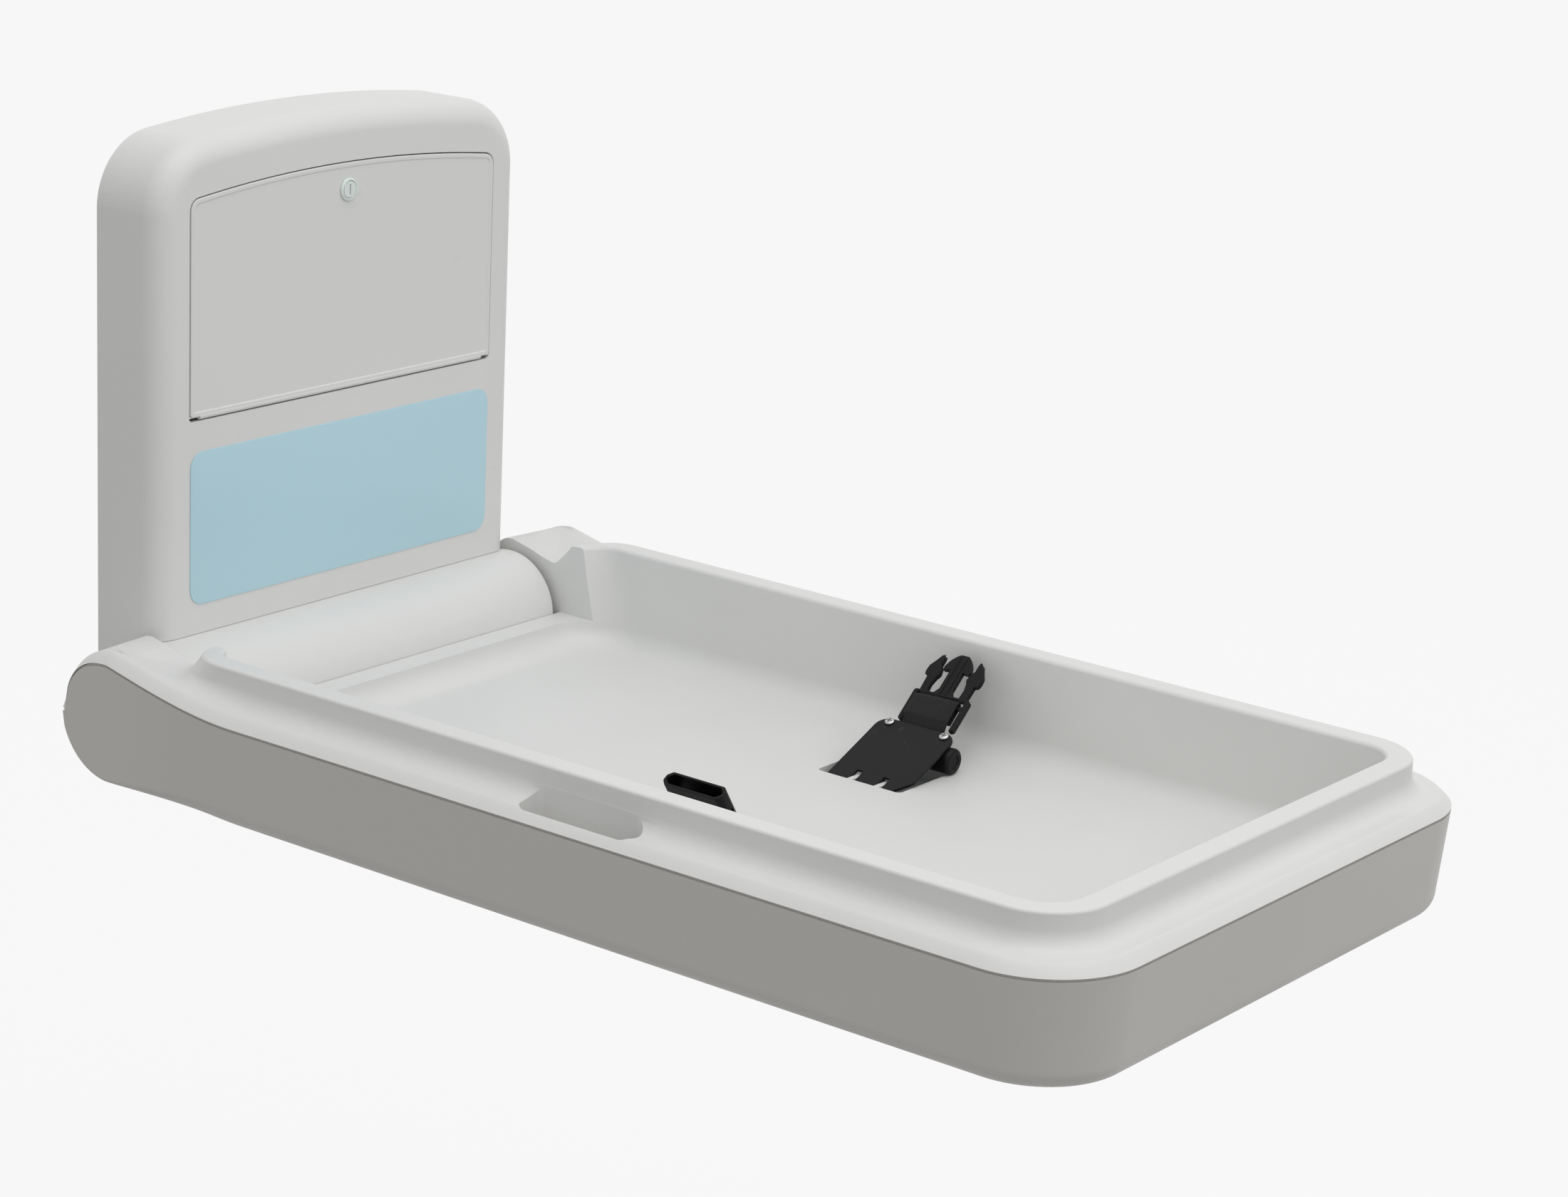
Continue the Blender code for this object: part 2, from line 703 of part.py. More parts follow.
def notch_outline(grow):
    """The side view of the space the barrel and the sill take, as (out, height)."""
    centre = (HINGE_OUT, -HINGE_BELOW)
    hug = BARREL_R + 2 * SEAT_GAP + grow
    sill = -SILL_BELOW - grow
    start = math.asin((sill + HINGE_BELOW) / hug)
    low = -INNER_DEPTH - 2 * OVERRUN
    top = RIM_TOP + OVERRUN
    front = SILL_FRONT_OUT + TUB_BACK_R + grow
    outline = [(-OVERRUN, top), (front, top), (front, sill)]
    outline += arc(centre, hug, start, -BARREL_WALL_ANGLE, CORNER_STEPS)
    outline += [(outline[-1][0], low), (-OVERRUN, low)]
    return outline


def make_upper_moulding():
    """The tray's upper moulding: lip, ledge, rim with hooked ends, tub, sill and cheeks."""
    tray = loft("upper_moulding", upper_rings(0.0), SHELL_WHITE)
    inside = loft("upper_inside", upper_rings(WALL))
    cut(tray, prism("notch_cutter", notch_outline(0.0), -CHEEK_X, CHEEK_X))
    cheek = CHEEK_X + CHEEK_WALL
    cut(inside, prism("notch_backing", notch_outline(WALL), -cheek, cheek))
    cut(tray, inside)
    # The cheeks stay inside the lower shell's bulb
    radius = BULB_R - WALL - 2 * SEAT_GAP
    low = -INNER_DEPTH - OVERRUN
    start = 2 * QUARTER + math.asin((SEAM_END_BELOW - SEAM_GROOVE - BULB_BELOW) / radius)
    trim = arc((BULB_OUT, -BULB_BELOW), radius, start, 3 * QUARTER, CORNER_STEPS)
    trim += [(BULB_OUT, low), (-OVERRUN, low), (-OVERRUN, trim[0][1])]
    reach = TRAY_HALF_WIDTH + OVERRUN
    cut(tray, prism("bulb_trim", trim, -reach, reach))
    bore = SHAFT_R + SEAT_GAP
    span = cheek + OVERRUN
    hole = turned(
        "cheek_holes",
        [(0, -span), (bore, -span), (bore, span), (0, span)],
        to_world(0, HINGE_OUT, -HINGE_BELOW),
        (1, 0, 0),
    )
    cut(tray, hole)
    add_recess(tray)
    add_pockets(tray)
    return tray


def add_recess(tray):
    """The finger recess beside the rim on the -X side, with its own walls under the ledge."""
    outer = -(TRAY_HALF_WIDTH - RECESS_OUTER_INSET)
    inner = -(TRAY_HALF_WIDTH - RECESS_INNER_INSET)
    body = box(
        "recess_body",
        (outer - WALL / 2, RECESS_START_OUT - WALL, -RECESS_BELOW - WALL),
        (inner + WALL, RECESS_END_OUT + WALL, LIP_RISE - WALL),
    )
    join(tray, body)
    outline = rounded_box(
        (outer, RECESS_START_OUT), (inner, RECESS_END_OUT), RECESS_CORNER_R, BACK_STEPS
    )
    cut(tray, prism("recess_cutter", outline, -RECESS_BELOW, RIM_TOP, axis="Z"))


def pocket_span():
    half = POCKET_WIDE / 2
    return POCKET_OUT - half, POCKET_OUT + half


def add_pockets(tray):
    """A pocket in the tub floor for each strap."""
    near_out, far_out = pocket_span()
    top = -FLOOR_BELOW - WALL / 2
    bottom = -FLOOR_BELOW - POCKET_DEEP
    for side in (-1, 1):
        xs = sorted((side * POCKET_INNER_X, side * (POCKET_INNER_X + POCKET_LONG)))
        body = box(
            f"pocket_body_{side}",
            (xs[0] - WALL, near_out - WALL, bottom - WALL),
            (xs[1] + WALL, far_out + WALL, top),
        )
        join(tray, body)
        outline = rounded_box((xs[0], near_out), (xs[1], far_out), POCKET_CORNER_R, BACK_STEPS)
        cutter = prism(f"pocket_cutter_{side}", outline, bottom, -FLOOR_BELOW + WALL, axis="Z")
        cut(tray, cutter)
    add_hinge_lugs(tray)


def add_hinge_lugs(tray):
    """Two lugs on the far pocket's wall that carry the cassette's pin."""
    half = KNUCKLE_LONG / 2 + SEAT_GAP
    top = -FLOOR_BELOW - SEAT_GAP
    low = top - 2 * KNUCKLE_R
    for i, out in enumerate((CASSETTE_OUT - half - LUG_LONG, CASSETTE_OUT + half)):
        lug = box(
            f"pin_lug_{i}",
            (POCKET_INNER_X - WALL / 2, out, low),
            (CASSETTE_HINGE_X + KNUCKLE_R, out + LUG_LONG, top),
        )
        join(tray, lug)
    bore = PIN_R + SEAT_GAP
    span = half + LUG_LONG + OVERRUN
    cut(
        tray,
        turned(
            "pin_bore",
            [(0, -span), (bore, -span), (bore, span), (0, span)],
            cassette_hinge(),
            (0, 1, 0),
            sides=16,
        ),
    )


def shell_bottom(out, skin=0.0):
    """The height of the lower shell's flat underside, which rises into the bulb ends."""
    low = -SHELL_BOTTOM_BELOW
    bulb = -BULB_BELOW - BULB_R
    if out >= BULB_OUT:
        return blend(bulb, low, smooth_step((out - BULB_OUT) / (SHELL_RUN_OUT - BULB_OUT)))
    radius = BULB_R - skin
    share = min((BULB_OUT - out) / radius, 1.0)
    return -BULB_BELOW - radius * math.sqrt(1 - share * share) - skin


def lower_rings(skin):
    """Rings of a solid that ends at the lower shell's outside (skin 0) or inside (WALL).

    It stands up from the flat underside; each ring lies outside the one below it in plan.
    """
    rings = []
    top = RIM_TOP + (OVERRUN if skin else 0)
    radius = SHELL_EDGE_R - skin
    nest = SEAT_GAP
    steps = CORNER_STEPS - 2
    for i in range(steps + 1):
        angle = QUARTER * (1 - i / steps)
        inset = SHELL_DRAFT + skin + radius * (1 - math.cos(angle))
        drop = radius * math.sin(angle)
        turn = blend(BULB_SEAM_TURN, QUARTER, angle / QUARTER)
        back = BULB_OUT - (BULB_R - skin) * math.cos(turn)
        corner = blend(LIP_WIDTH / 2, LIP_WIDTH, angle / QUARTER)

        def edge(_, out, drop=drop):
            return shell_bottom(out, skin) + skin + radius - drop

        rings.append(ring_at(inset, back, corner, edge))
    back = BULB_OUT - BULB_R + skin - nest
    for share in (0.5, 1.0):
        inset = SHELL_DRAFT * (1 - share) + skin

        def side(_, out, share=share):
            low = shell_bottom(out, skin) + skin + radius
            return blend(low, max(seam_height(out), low + nest), share)

        rings.append(ring_at(inset, back + nest * (1 - share), LIP_WIDTH / 2, side))
    rings.append(ring_at(skin, back, LIP_WIDTH / 2, level(top)))
    return rings


def above_seam():
    """The side view of everything over the lower shell's top edge, as (out, height)."""
    down = SEAM_GROOVE / 2
    first = BULB_OUT - BULB_R - SEAT_GAP + LIP_WIDTH / 2
    outs = [first, *side_stations(first, TRAY_REACH - TRAY_CORNER_R)]
    outline = [(-OVERRUN, seam_height(first) - down)]
    outline += [(out, seam_height(out) - down) for out in outs]
    top = RIM_TOP + 2 * OVERRUN
    outline += [(TRAY_REACH + OVERRUN, -down), (TRAY_REACH + OVERRUN, top), (-OVERRUN, top)]
    return outline


def make_lower_shell():
    """The tray's lower shell: a drafted pan whose two arms end in bulbs beside the barrel."""
    shell = loft("lower_shell", lower_rings(0.0), SHELL_WHITE, ladder=True)
    cut(shell, loft("lower_inside", lower_rings(WALL), ladder=True))
    reach = TRAY_HALF_WIDTH + OVERRUN
    cut(shell, prism("seam_cutter", above_seam(), -reach, reach))
    half = CHEEK_X + CHEEK_WALL + SEAT_GAP
    hug = BARREL_R + WALL + 3 * SEAT_GAP
    low = -SHELL_BOTTOM_BELOW - OVERRUN
    outline = arc((HINGE_OUT, -HINGE_BELOW), hug, QUARTER, -QUARTER / 2, CORNER_STEPS * 2)
    outline += [(outline[-1][0], low), (-OVERRUN, low), (-OVERRUN, outline[0][1])]
    cut(shell, prism("barrel_cutter", outline, -half, half))
    for i, (x, out) in enumerate(screw_places()):
        hollow = turned(
            f"screw_recess_{i}",
            [
                (0, -OVERRUN),
                (SHELL_RECESS_R, -OVERRUN),
                (SHELL_RECESS_R, SHELL_RECESS_DEEP),
                (0, SHELL_RECESS_DEEP),
            ],
            to_world(x, out, shell_bottom(out)),
            (0, 0, 1),
        )
        cut(shell, hollow)
    return shell


def screw_places():
    x = TRAY_HALF_WIDTH - SHELL_SCREW_INSET
    return [(side * x, out) for side in (-1, 1) for out in SHELL_SCREW_OUTS]


def make_shell_screws():
    """Pan-head screws that hold the lower shell from below, seated in their recesses."""
    for i, (x, out) in enumerate(screw_places()):
        top = SHELL_RECESS_DEEP - SEAT_GAP
        centre = to_world(x, out, shell_bottom(out))
        turned(
            f"shell_screw_{i + 1}",
            [
                (0, top - SHELL_SCREW_RISE),
                (SHELL_SCREW_R * 0.7, top - SHELL_SCREW_RISE),
                (SHELL_SCREW_R, top - SHELL_SCREW_RISE / 2),
                (SHELL_SCREW_R, top),
                (0, top),
            ],
            centre,
            (0, 0, 1),
            SCREW_STEEL,
            16,
        )


def housing_outline(inset, bottom):
    """The housing's front outline as (x, height), drawn in by an inset."""
    half = HOUSING_HALF - inset
    shoulder = HOUSING_SHOULDER_R - inset
    arch = HOUSING_ARCH_R - inset
    shoulder_x = HOUSING_HALF - HOUSING_SHOULDER_R
    arch_centre = HOUSING_TOP - HOUSING_ARCH_R
    reach = HOUSING_ARCH_R - HOUSING_SHOULDER_R
    lean = math.asin(shoulder_x / reach)
    shoulder_z = arch_centre + reach * math.cos(lean)
    foot_r = max(HOUSING_FOOT_R - inset, SEAT_GAP)
    foot = bottom + inset
    right = arc((half - foot_r, foot + foot_r), foot_r, -QUARTER, 0, 3)
    right += arc((shoulder_x, shoulder_z), shoulder, 0, QUARTER - lean, CORNER_STEPS)
    steps = CORNER_STEPS
    for i in range(1, steps + 1):
        angle = lean * (1 - i / steps)
        right.append((arch * math.sin(angle), arch_centre + arch * math.cos(angle)))
    left = [(-x, z) for x, z in reversed(right[:-1])]
    return right + left


def housing_rings(skin):
    bottom = -HOUSING_BOTTOM_BELOW
    rings = []
    radius = HOUSING_EDGE_R - skin
    back = SEAT_GAP - (OVERRUN if skin else 0)
    depth_inset = [(back, skin)]
    for i in range(CORNER_STEPS + 1):
        angle = QUARTER * i / CORNER_STEPS
        depth = HOUSING_DEEP - HOUSING_EDGE_R + radius * math.sin(angle)
        depth_inset.append((depth, skin + radius * (1 - math.cos(angle))))
    for depth, inset in depth_inset:
        rings.append([to_world(x, depth, z) for x, z in housing_outline(inset, bottom)])
    return rings


def door_arch(half, bottom, top, corner, foot=0.0, steps=CORNER_STEPS):
    """The door's outline: straight sides, small round corners and the housing's own arch.

    A foot radius other than zero is that of the lower corners alone.
    """
    arch = HOUSING_ARCH_R - (HOUSING_TOP - top)
    centre = top - arch
    reach = arch - corner
    lean = math.asin((half - corner) / reach)
    corner_z = centre + reach * math.cos(lean)
    low_r = foot or corner
    right = arc((half - low_r, bottom + low_r), low_r, -QUARTER, 0, BACK_STEPS)
    right += arc((half - corner, corner_z), corner, 0, QUARTER - lean, BACK_STEPS)
    for i in range(1, steps + 1):
        angle = lean * (1 - i / steps)
        right.append((arch * math.sin(angle), centre + arch * math.cos(angle)))
    return right + [(-x, z) for x, z in reversed(right[:-1])]


def make_housing():
    """The wall housing: an arched shell, open behind, with the liner door's opening."""
    shell = loft("housing_shell", housing_rings(0.0), SHELL_WHITE)
    hollow = loft("housing_hollow", housing_rings(WALL))
    cut(shell, hollow)
    centre = to_world(0, HINGE_OUT, -HINGE_BELOW)
    bite = BARREL_R + SEAT_GAP
    reach = HOUSING_HALF + OVERRUN
    cylinder = turned(
        "barrel_bite",
        [(0, -reach), (bite, -reach), (bite, reach), (0, reach)],
        centre,
        (1, 0, 0),
        sides=BARREL_SIDES,
    )
    cut(shell, cylinder)
    opening = door_arch(
        DOOR_HALF + DOOR_GAP,
        DOOR_BOTTOM - DOOR_GAP,
        DOOR_TOP + DOOR_GAP,
        DOOR_CORNER_R,
        DOORWAY_FOOT_R,
    )
    front = HOUSING_DEEP + OVERRUN
    doorway = prism("door_cutter", opening, HOUSING_DEEP - 2 * WALL, front, axis="Y")
    out, height = door_axis()
    pivot_reach = DOOR_HALF + DOOR_PIVOT_LONG + DOOR_GAP
    bore = turned(
        "pivot_cutter",
        [
            (0, -pivot_reach),
            (DOOR_PIVOT_R + SEAT_GAP, -pivot_reach),
            (DOOR_PIVOT_R + SEAT_GAP, pivot_reach),
            (0, pivot_reach),
        ],
        to_world(0, out, height),
        (1, 0, 0),
        sides=16,
    )
    join(doorway, bore)
    cut(shell, doorway)
    return shell


def door_axis():
    """(out, height) of the liner door's hinge line, inside the bead on its lower edge."""
    return HOUSING_DEEP - WALL / 2, DOOR_BOTTOM + DOOR_BEAD_R


def make_door():
    """The liner door: an arched panel with a fine line round its face and a hinge bead."""
    out, height = door_axis()
    face = HOUSING_DEEP + DOOR_RAISE
    outline = door_arch(DOOR_HALF, DOOR_BOTTOM, DOOR_TOP, DOOR_CORNER_R)
    fall = DOOR_CORNER_R - DOOR_BEAD_R
    foot = DOOR_HALF - DOOR_CORNER_R + math.sqrt(DOOR_CORNER_R**2 - fall**2)
    over = [(x, z) for x, z in outline if z > height]
    outline = [(foot, height), *over, (-foot, height)]
    panel = prism("door_panel", outline, face - DOOR_THICK, face, DOOR_WHITE, axis="Y")
    span = DOOR_HALF - DOOR_CORNER_R
    tip = DOOR_HALF + DOOR_PIVOT_LONG
    bead = turned(
        "door_bead",
        [
            (0, -tip),
            (DOOR_PIVOT_R, -tip),
            (DOOR_PIVOT_R, -span),
            (DOOR_BEAD_R, -span),
            (DOOR_BEAD_R, span),
            (DOOR_PIVOT_R, span),
            (DOOR_PIVOT_R, tip),
            (0, tip),
        ],
        to_world(0, out, height),
        (1, 0, 0),
        sides=16,
    )
    join(panel, bead)
    inset = DOOR_LINE_INSET
    wide = DOOR_LINE_WIDE
    outer = door_arch(
        DOOR_HALF - inset, height + inset, DOOR_TOP - inset, DOOR_CORNER_R - inset / 2
    )
    inner = door_arch(
        DOOR_HALF - inset - wide,
        height + inset + wide,
        DOOR_TOP - inset - wide,
        DOOR_CORNER_R - inset / 2 - wide,
    )
    groove = prism("door_line", outer, face - DOOR_LINE_DEEP, face + OVERRUN, axis="Y")
    island = prism(
        "door_line_island", inner, face - DOOR_LINE_DEEP - OVERRUN, face + 2 * OVERRUN, axis="Y"
    )
    cut(groove, island)
    cut(panel, groove)
    bore = LOCK_BARREL_R + SEAT_GAP
    lock_hole = turned(
        "lock_hole",
        [(0, -OVERRUN), (bore, -OVERRUN), (bore, 2 * WALL), (0, 2 * WALL)],
        to_world(0, face, LOCK_HEIGHT),
        (0, 1, 0),
    )
    cut(panel, lock_hole)
    set_origin(panel, to_world(0, out, height))
    return panel


def make_lock():
    """The lock: a bezel and a nut on the door, and a turning plug with its cam."""
    face = HOUSING_DEEP + DOOR_RAISE
    centre = to_world(0, face, LOCK_HEIGHT)
    inner = LOCK_BARREL_R + SEAT_GAP
    turned(
        "lock_bezel",
        [
            (inner, -LOCK_PROUD),
            (LOCK_R * 0.92, -LOCK_PROUD),
            (LOCK_R, -LOCK_PROUD / 2),
            (LOCK_R, -SEAT_GAP),
            (inner, -SEAT_GAP),
        ],
        centre,
        (0, 1, 0),
        LOCK_PALE,
    )
    nut_start = DOOR_THICK + SEAT_GAP
    turned(
        "lock_nut",
        [
            (inner, nut_start),
            (LOCK_NUT_R, nut_start),
            (LOCK_NUT_R, nut_start + LOCK_NUT_THICK),
            (inner, nut_start + LOCK_NUT_THICK),
        ],
        centre,
        (0, 1, 0),
        STEEL,
    )
    plug_face = -LOCK_PROUD + DOOR_RAISE
    plug = turned(
        "lock_plug",
        [
            (0, plug_face),
            (LOCK_BARREL_R, plug_face),
            (LOCK_BARREL_R, LOCK_BARREL_LONG),
            (0, LOCK_BARREL_LONG),
        ],
        centre,
        (0, 1, 0),
        LOCK_PALE,
    )
    front = face - plug_face
    wide = LOCK_SLOT_WIDE / 2
    tall = LOCK_SLOT_LONG / 2
    slot = box(
        "key_slot",
        (-wide, front - LOCK_SLOT_DEEP, LOCK_HEIGHT - tall),
        (wide, front + OVERRUN, LOCK_HEIGHT + tall),
    )
    cut(plug, slot)
    half = CAM_WIDE / 2
    cam_outline = arc((0, LOCK_HEIGHT), half, -QUARTER, -3 * QUARTER, CORNER_STEPS)
    cam_outline += [(CAM_LONG, LOCK_HEIGHT + half), (CAM_LONG, LOCK_HEIGHT - half)]
    start = face - LOCK_BARREL_LONG - SEAT_GAP
    cam = prism("lock_cam", cam_outline, start - CAM_THICK, start, STEEL, axis="Y")
    for piece in (plug, cam):
        set_origin(piece, centre)


def make_liner_bin():
    """The bin behind the door that holds the paper liners, open to the front."""
    front = HOUSING_DEEP - WALL - SEAT_GAP
    half = DOOR_HALF + DOOR_GAP + BIN_WALL
    low = DOOR_BOTTOM - DOOR_GAP - BIN_WALL
    top = DOOR_TOP + DOOR_GAP + BIN_WALL
    body = box("liner_bin", (-half, front - BIN_DEEP, low), (half, front, top), DOOR_WHITE)
    space = box(
        "bin_space",
        (-half + BIN_WALL, front - BIN_DEEP + BIN_WALL, low + BIN_WALL),
        (half - BIN_WALL, front + OVERRUN, top - BIN_WALL),
    )
    cut(body, space)


def make_label():
    """The plain pale blue information plate, left blank."""
    outline = rounded_box((-LABEL_HALF, LABEL_BOTTOM), (LABEL_HALF, LABEL_TOP), LABEL_CORNER_R)
    start = HOUSING_DEEP + SEAT_GAP
    prism("label_plate", outline, start, start + LABEL_THICK, LABEL_BLUE, axis="Y")


def make_wall_plate():
    """The steel plate that the wall screws hold, with a hole near each corner."""
    bottom = SEAM_BELOW_ORIGIN - PLATE_BELOW
    top = SEAM_BELOW_ORIGIN + PLATE_ABOVE
    outline = rounded_box((-PLATE_HALF, bottom), (PLATE_HALF, top), PLATE_CORNER_R)
    plate = prism("wall_plate", outline, 0.0, PLATE_THICK, STEEL, axis="Y")
    span = PLATE_THICK + OVERRUN
    for i, (x, height) in enumerate(
        (side * PLATE_HOLE_X, height)
        for side in (-1, 1)
        for height in (bottom + PLATE_HOLE_INSET, top - PLATE_HOLE_INSET)
    ):
        hole = turned(
            f"plate_hole_{i}",
            [(0, -span), (PLATE_HOLE_R, -span), (PLATE_HOLE_R, span), (0, span)],
            to_world(x, 0, height),
            (0, 1, 0),
            sides=16,
        )
        cut(plate, hole)


def make_barrel():
    """The fixed round cover over the hinge, open behind for its brackets."""
    start = BARREL_HALF
    inner = BARREL_R - WALL
    edge = arc((BARREL_R - BARREL_EDGE_R, start - BARREL_EDGE_R), BARREL_EDGE_R, 0, QUARTER, 3)
    bore = SHAFT_R + 2 * SEAT_GAP
    outside = [(bore, start)] + edge[::-1]
    profile = outside + [(r, -z) for r, z in reversed(outside)]
    profile += [(bore, -start + WALL), (inner, -start + WALL)]
    profile += [(inner, start - WALL), (bore, start - WALL)]
    centre = to_world(0, HINGE_OUT, -HINGE_BELOW)
    barrel = turned("hinge_barrel", profile, centre, (1, 0, 0), SHELL_WHITE, BARREL_SIDES)
    low = (-start + 2 * WALL, 0.0, -HINGE_BELOW - BARREL_SLOT_HALF)
    high = (start - 2 * WALL, HINGE_OUT - BARREL_SLOT_HALF, -HINGE_BELOW + BARREL_SLOT_HALF)
    cut(barrel, box("barrel_slot", low, high))


def make_hinge():
    """Shaft, bushes, brackets, dampers, arm plates and stop levers."""
    axis = to_world(0, HINGE_OUT, -HINGE_BELOW)
    half = SHAFT_HALF
    shaft_profile = [(0, -half), (SHAFT_R, -half), (SHAFT_R, half), (0, half)]
    turned("hinge_shaft", shaft_profile, axis, (1, 0, 0), STEEL)
    bore = SHAFT_R + RUN_GAP
    for side, tag in ((-1, "left"), (1, "right")):
        out_way = (side, 0, 0)
        bracket = make_bracket(side, tag)
        seat = bore + BUSH_WALL
        face = BRACKET_X + BRACKET_THICK
        turned(
            f"hinge_bush_{tag}",
            [
                (bore, BRACKET_X),
                (seat - RUN_GAP, BRACKET_X),
                (seat - RUN_GAP, face + SEAT_GAP),
                (BUSH_FLANGE_R, face + SEAT_GAP),
                (BUSH_FLANGE_R, face + BUSH_FLANGE),
                (bore, face + BUSH_FLANGE),
            ],
            axis,
            out_way,
            NYLON,
        )
        hole_profile = [(0, 0), (seat, 0), (seat, face + OVERRUN), (0, face + OVERRUN)]
        cut(bracket, turned(f"bush_hole_{tag}", hole_profile, axis, out_way))
        damper_end = BRACKET_X - SEAT_GAP
        boss_end = damper_end - DAMPER_LONG
        turned(
            f"damper_{tag}",
            [
                (bore, damper_end),
                (DAMPER_R, damper_end),
                (DAMPER_R, boss_end),
                (DAMPER_BOSS_R, boss_end),
                (DAMPER_BOSS_R, boss_end - DAMPER_BOSS),
                (bore, boss_end - DAMPER_BOSS),
            ],
            axis,
            out_way,
            DARK_PLASTIC,
        )
        make_arm_plate(side, tag)
        make_stop_lever(side, tag)


def make_bracket(side, tag):
    """A steel side plate from the wall plate to the shaft, with a foot on the wall plate."""
    centre = (HINGE_OUT, -HINGE_BELOW)
    back = PLATE_THICK + SEAT_GAP
    eye = arc(centre, BRACKET_EYE_R, -QUARTER, QUARTER, CORNER_STEPS * 2)
    half = BRACKET_EYE_R
    outline = [(back, -HINGE_BELOW - half), *eye, (back, -HINGE_BELOW + half)]
    near = side * BRACKET_X
    far = side * (BRACKET_X + BRACKET_THICK)
    plate = prism(f"hinge_bracket_{tag}", outline, near, far, STEEL)
    xs = sorted((far - side * BRACKET_FOOT_WIDE, far - side * BRACKET_THICK / 2))
    low = -BRACKET_FOOT_BELOW
    foot = box(
        f"bracket_foot_{tag}",
        (xs[0], back, low),
        (xs[1], back + BRACKET_THICK, low + BRACKET_FOOT_HALF),
    )
    join(plate, foot)
    return plate


def make_arm_plate(side, tag):
    """A steel plate inside each arm, clamped on the shaft and carrying the side rail."""
    centre = (HINGE_OUT, -HINGE_BELOW)
    eye = arc(centre, ARM_PLATE_EYE_R, QUARTER, 3 * QUARTER, CORNER_STEPS * 2)
    low = -HINGE_BELOW - ARM_PLATE_EYE_R
    outline = eye + [(ARM_PLATE_REACH, low), (ARM_PLATE_REACH, low + ARM_PLATE_DEEP)]
    far = ARM_PLATE_X + ARM_PLATE_THICK
    plate = prism(f"arm_plate_{tag}", outline, side * ARM_PLATE_X, side * far, STEEL)
    bore = SHAFT_R + SEAT_GAP
    profile = [(0, 0), (bore, 0), (bore, SHAFT_HALF + OVERRUN), (0, SHAFT_HALF + OVERRUN)]
    centre_line = to_world(0, HINGE_OUT, -HINGE_BELOW)
    cut(plate, turned(f"arm_plate_hole_{tag}", profile, centre_line, (side, 0, 0)))


def make_stop_lever(side, tag):
    """A lever keyed to the shaft that swings up with the tray inside the barrel."""
    centre = (HINGE_OUT, -HINGE_BELOW)
    eye = arc(centre, STOP_LEVER_R, QUARTER, 3 * QUARTER, CORNER_STEPS)
    tip = HINGE_OUT + STOP_LEVER_REACH
    half = STOP_LEVER_R / 2
    outline = eye + [(tip, -HINGE_BELOW - half), (tip, -HINGE_BELOW + half)]
    near = side * STOP_X
    far = side * (STOP_X + STOP_LEVER_THICK)
    lever = prism(f"stop_lever_{tag}", outline, near, far, STEEL)
    bore = SHAFT_R + SEAT_GAP
    profile = [(0, 0), (bore, 0), (bore, BRACKET_X), (0, BRACKET_X)]
    centre_line = to_world(0, HINGE_OUT, -HINGE_BELOW)
    cut(lever, turned(f"lever_hole_{tag}", profile, centre_line, (side, 0, 0)))


def make_frame():
    """Side rails and cross bars that stiffen the tray between its two mouldings."""
    near = ARM_PLATE_X + ARM_PLATE_THICK + SEAT_GAP
    bottom = -SHELL_BOTTOM_BELOW + WALL + SEAT_GAP
    low = bottom + CROSS_DEEP + SEAT_GAP
    start = HINGE_OUT + SHAFT_R + BUSH_WALL
    for side, tag in ((-1, "left"), (1, "right")):
        xs = sorted((side * near, side * (near + RAIL_WIDE)))
        box(f"frame_rail_{tag}", (xs[0], start, low), (xs[1], RAIL_REACH, low + RAIL_DEEP), STEEL)
    for i, share in enumerate(CROSS_SHARES):
        out = blend(start, RAIL_REACH, share)
        box(
            f"frame_cross_{i + 1}",
            (-CROSS_HALF, out - CROSS_WIDE / 2, bottom),
            (CROSS_HALF, out + CROSS_WIDE / 2, bottom + CROSS_DEEP),
            STEEL,
        )


def cassette_point(along, out, off=0.0):
    """A point on the far strap's cassette plate: along its slope, and off its top face."""
    x = CASSETTE_HINGE_X + along * math.cos(CASSETTE_TILT) - off * math.sin(CASSETTE_TILT)
    z = along * math.sin(CASSETTE_TILT) + off * math.cos(CASSETTE_TILT) - FLOOR_BELOW
    return to_world(x, out, z)


def slab(name, outline, place, low, high, finish=None):
    """An (along, out) outline given a thickness by a placing function."""
    mesh_bm = bmesh.new()
    bottom = [mesh_bm.verts.new(place(a, b, low)) for a, b in outline]
    top = [mesh_bm.verts.new(place(a, b, high)) for a, b in outline]
    mesh_bm.faces.new(bottom)
    mesh_bm.faces.new(top)
    for i in range(len(outline)):
        j = (i + 1) % len(outline)
        mesh_bm.faces.new((bottom[i], bottom[j], top[j], top[i]))
    return obj_from(name, mesh_bm, finish)


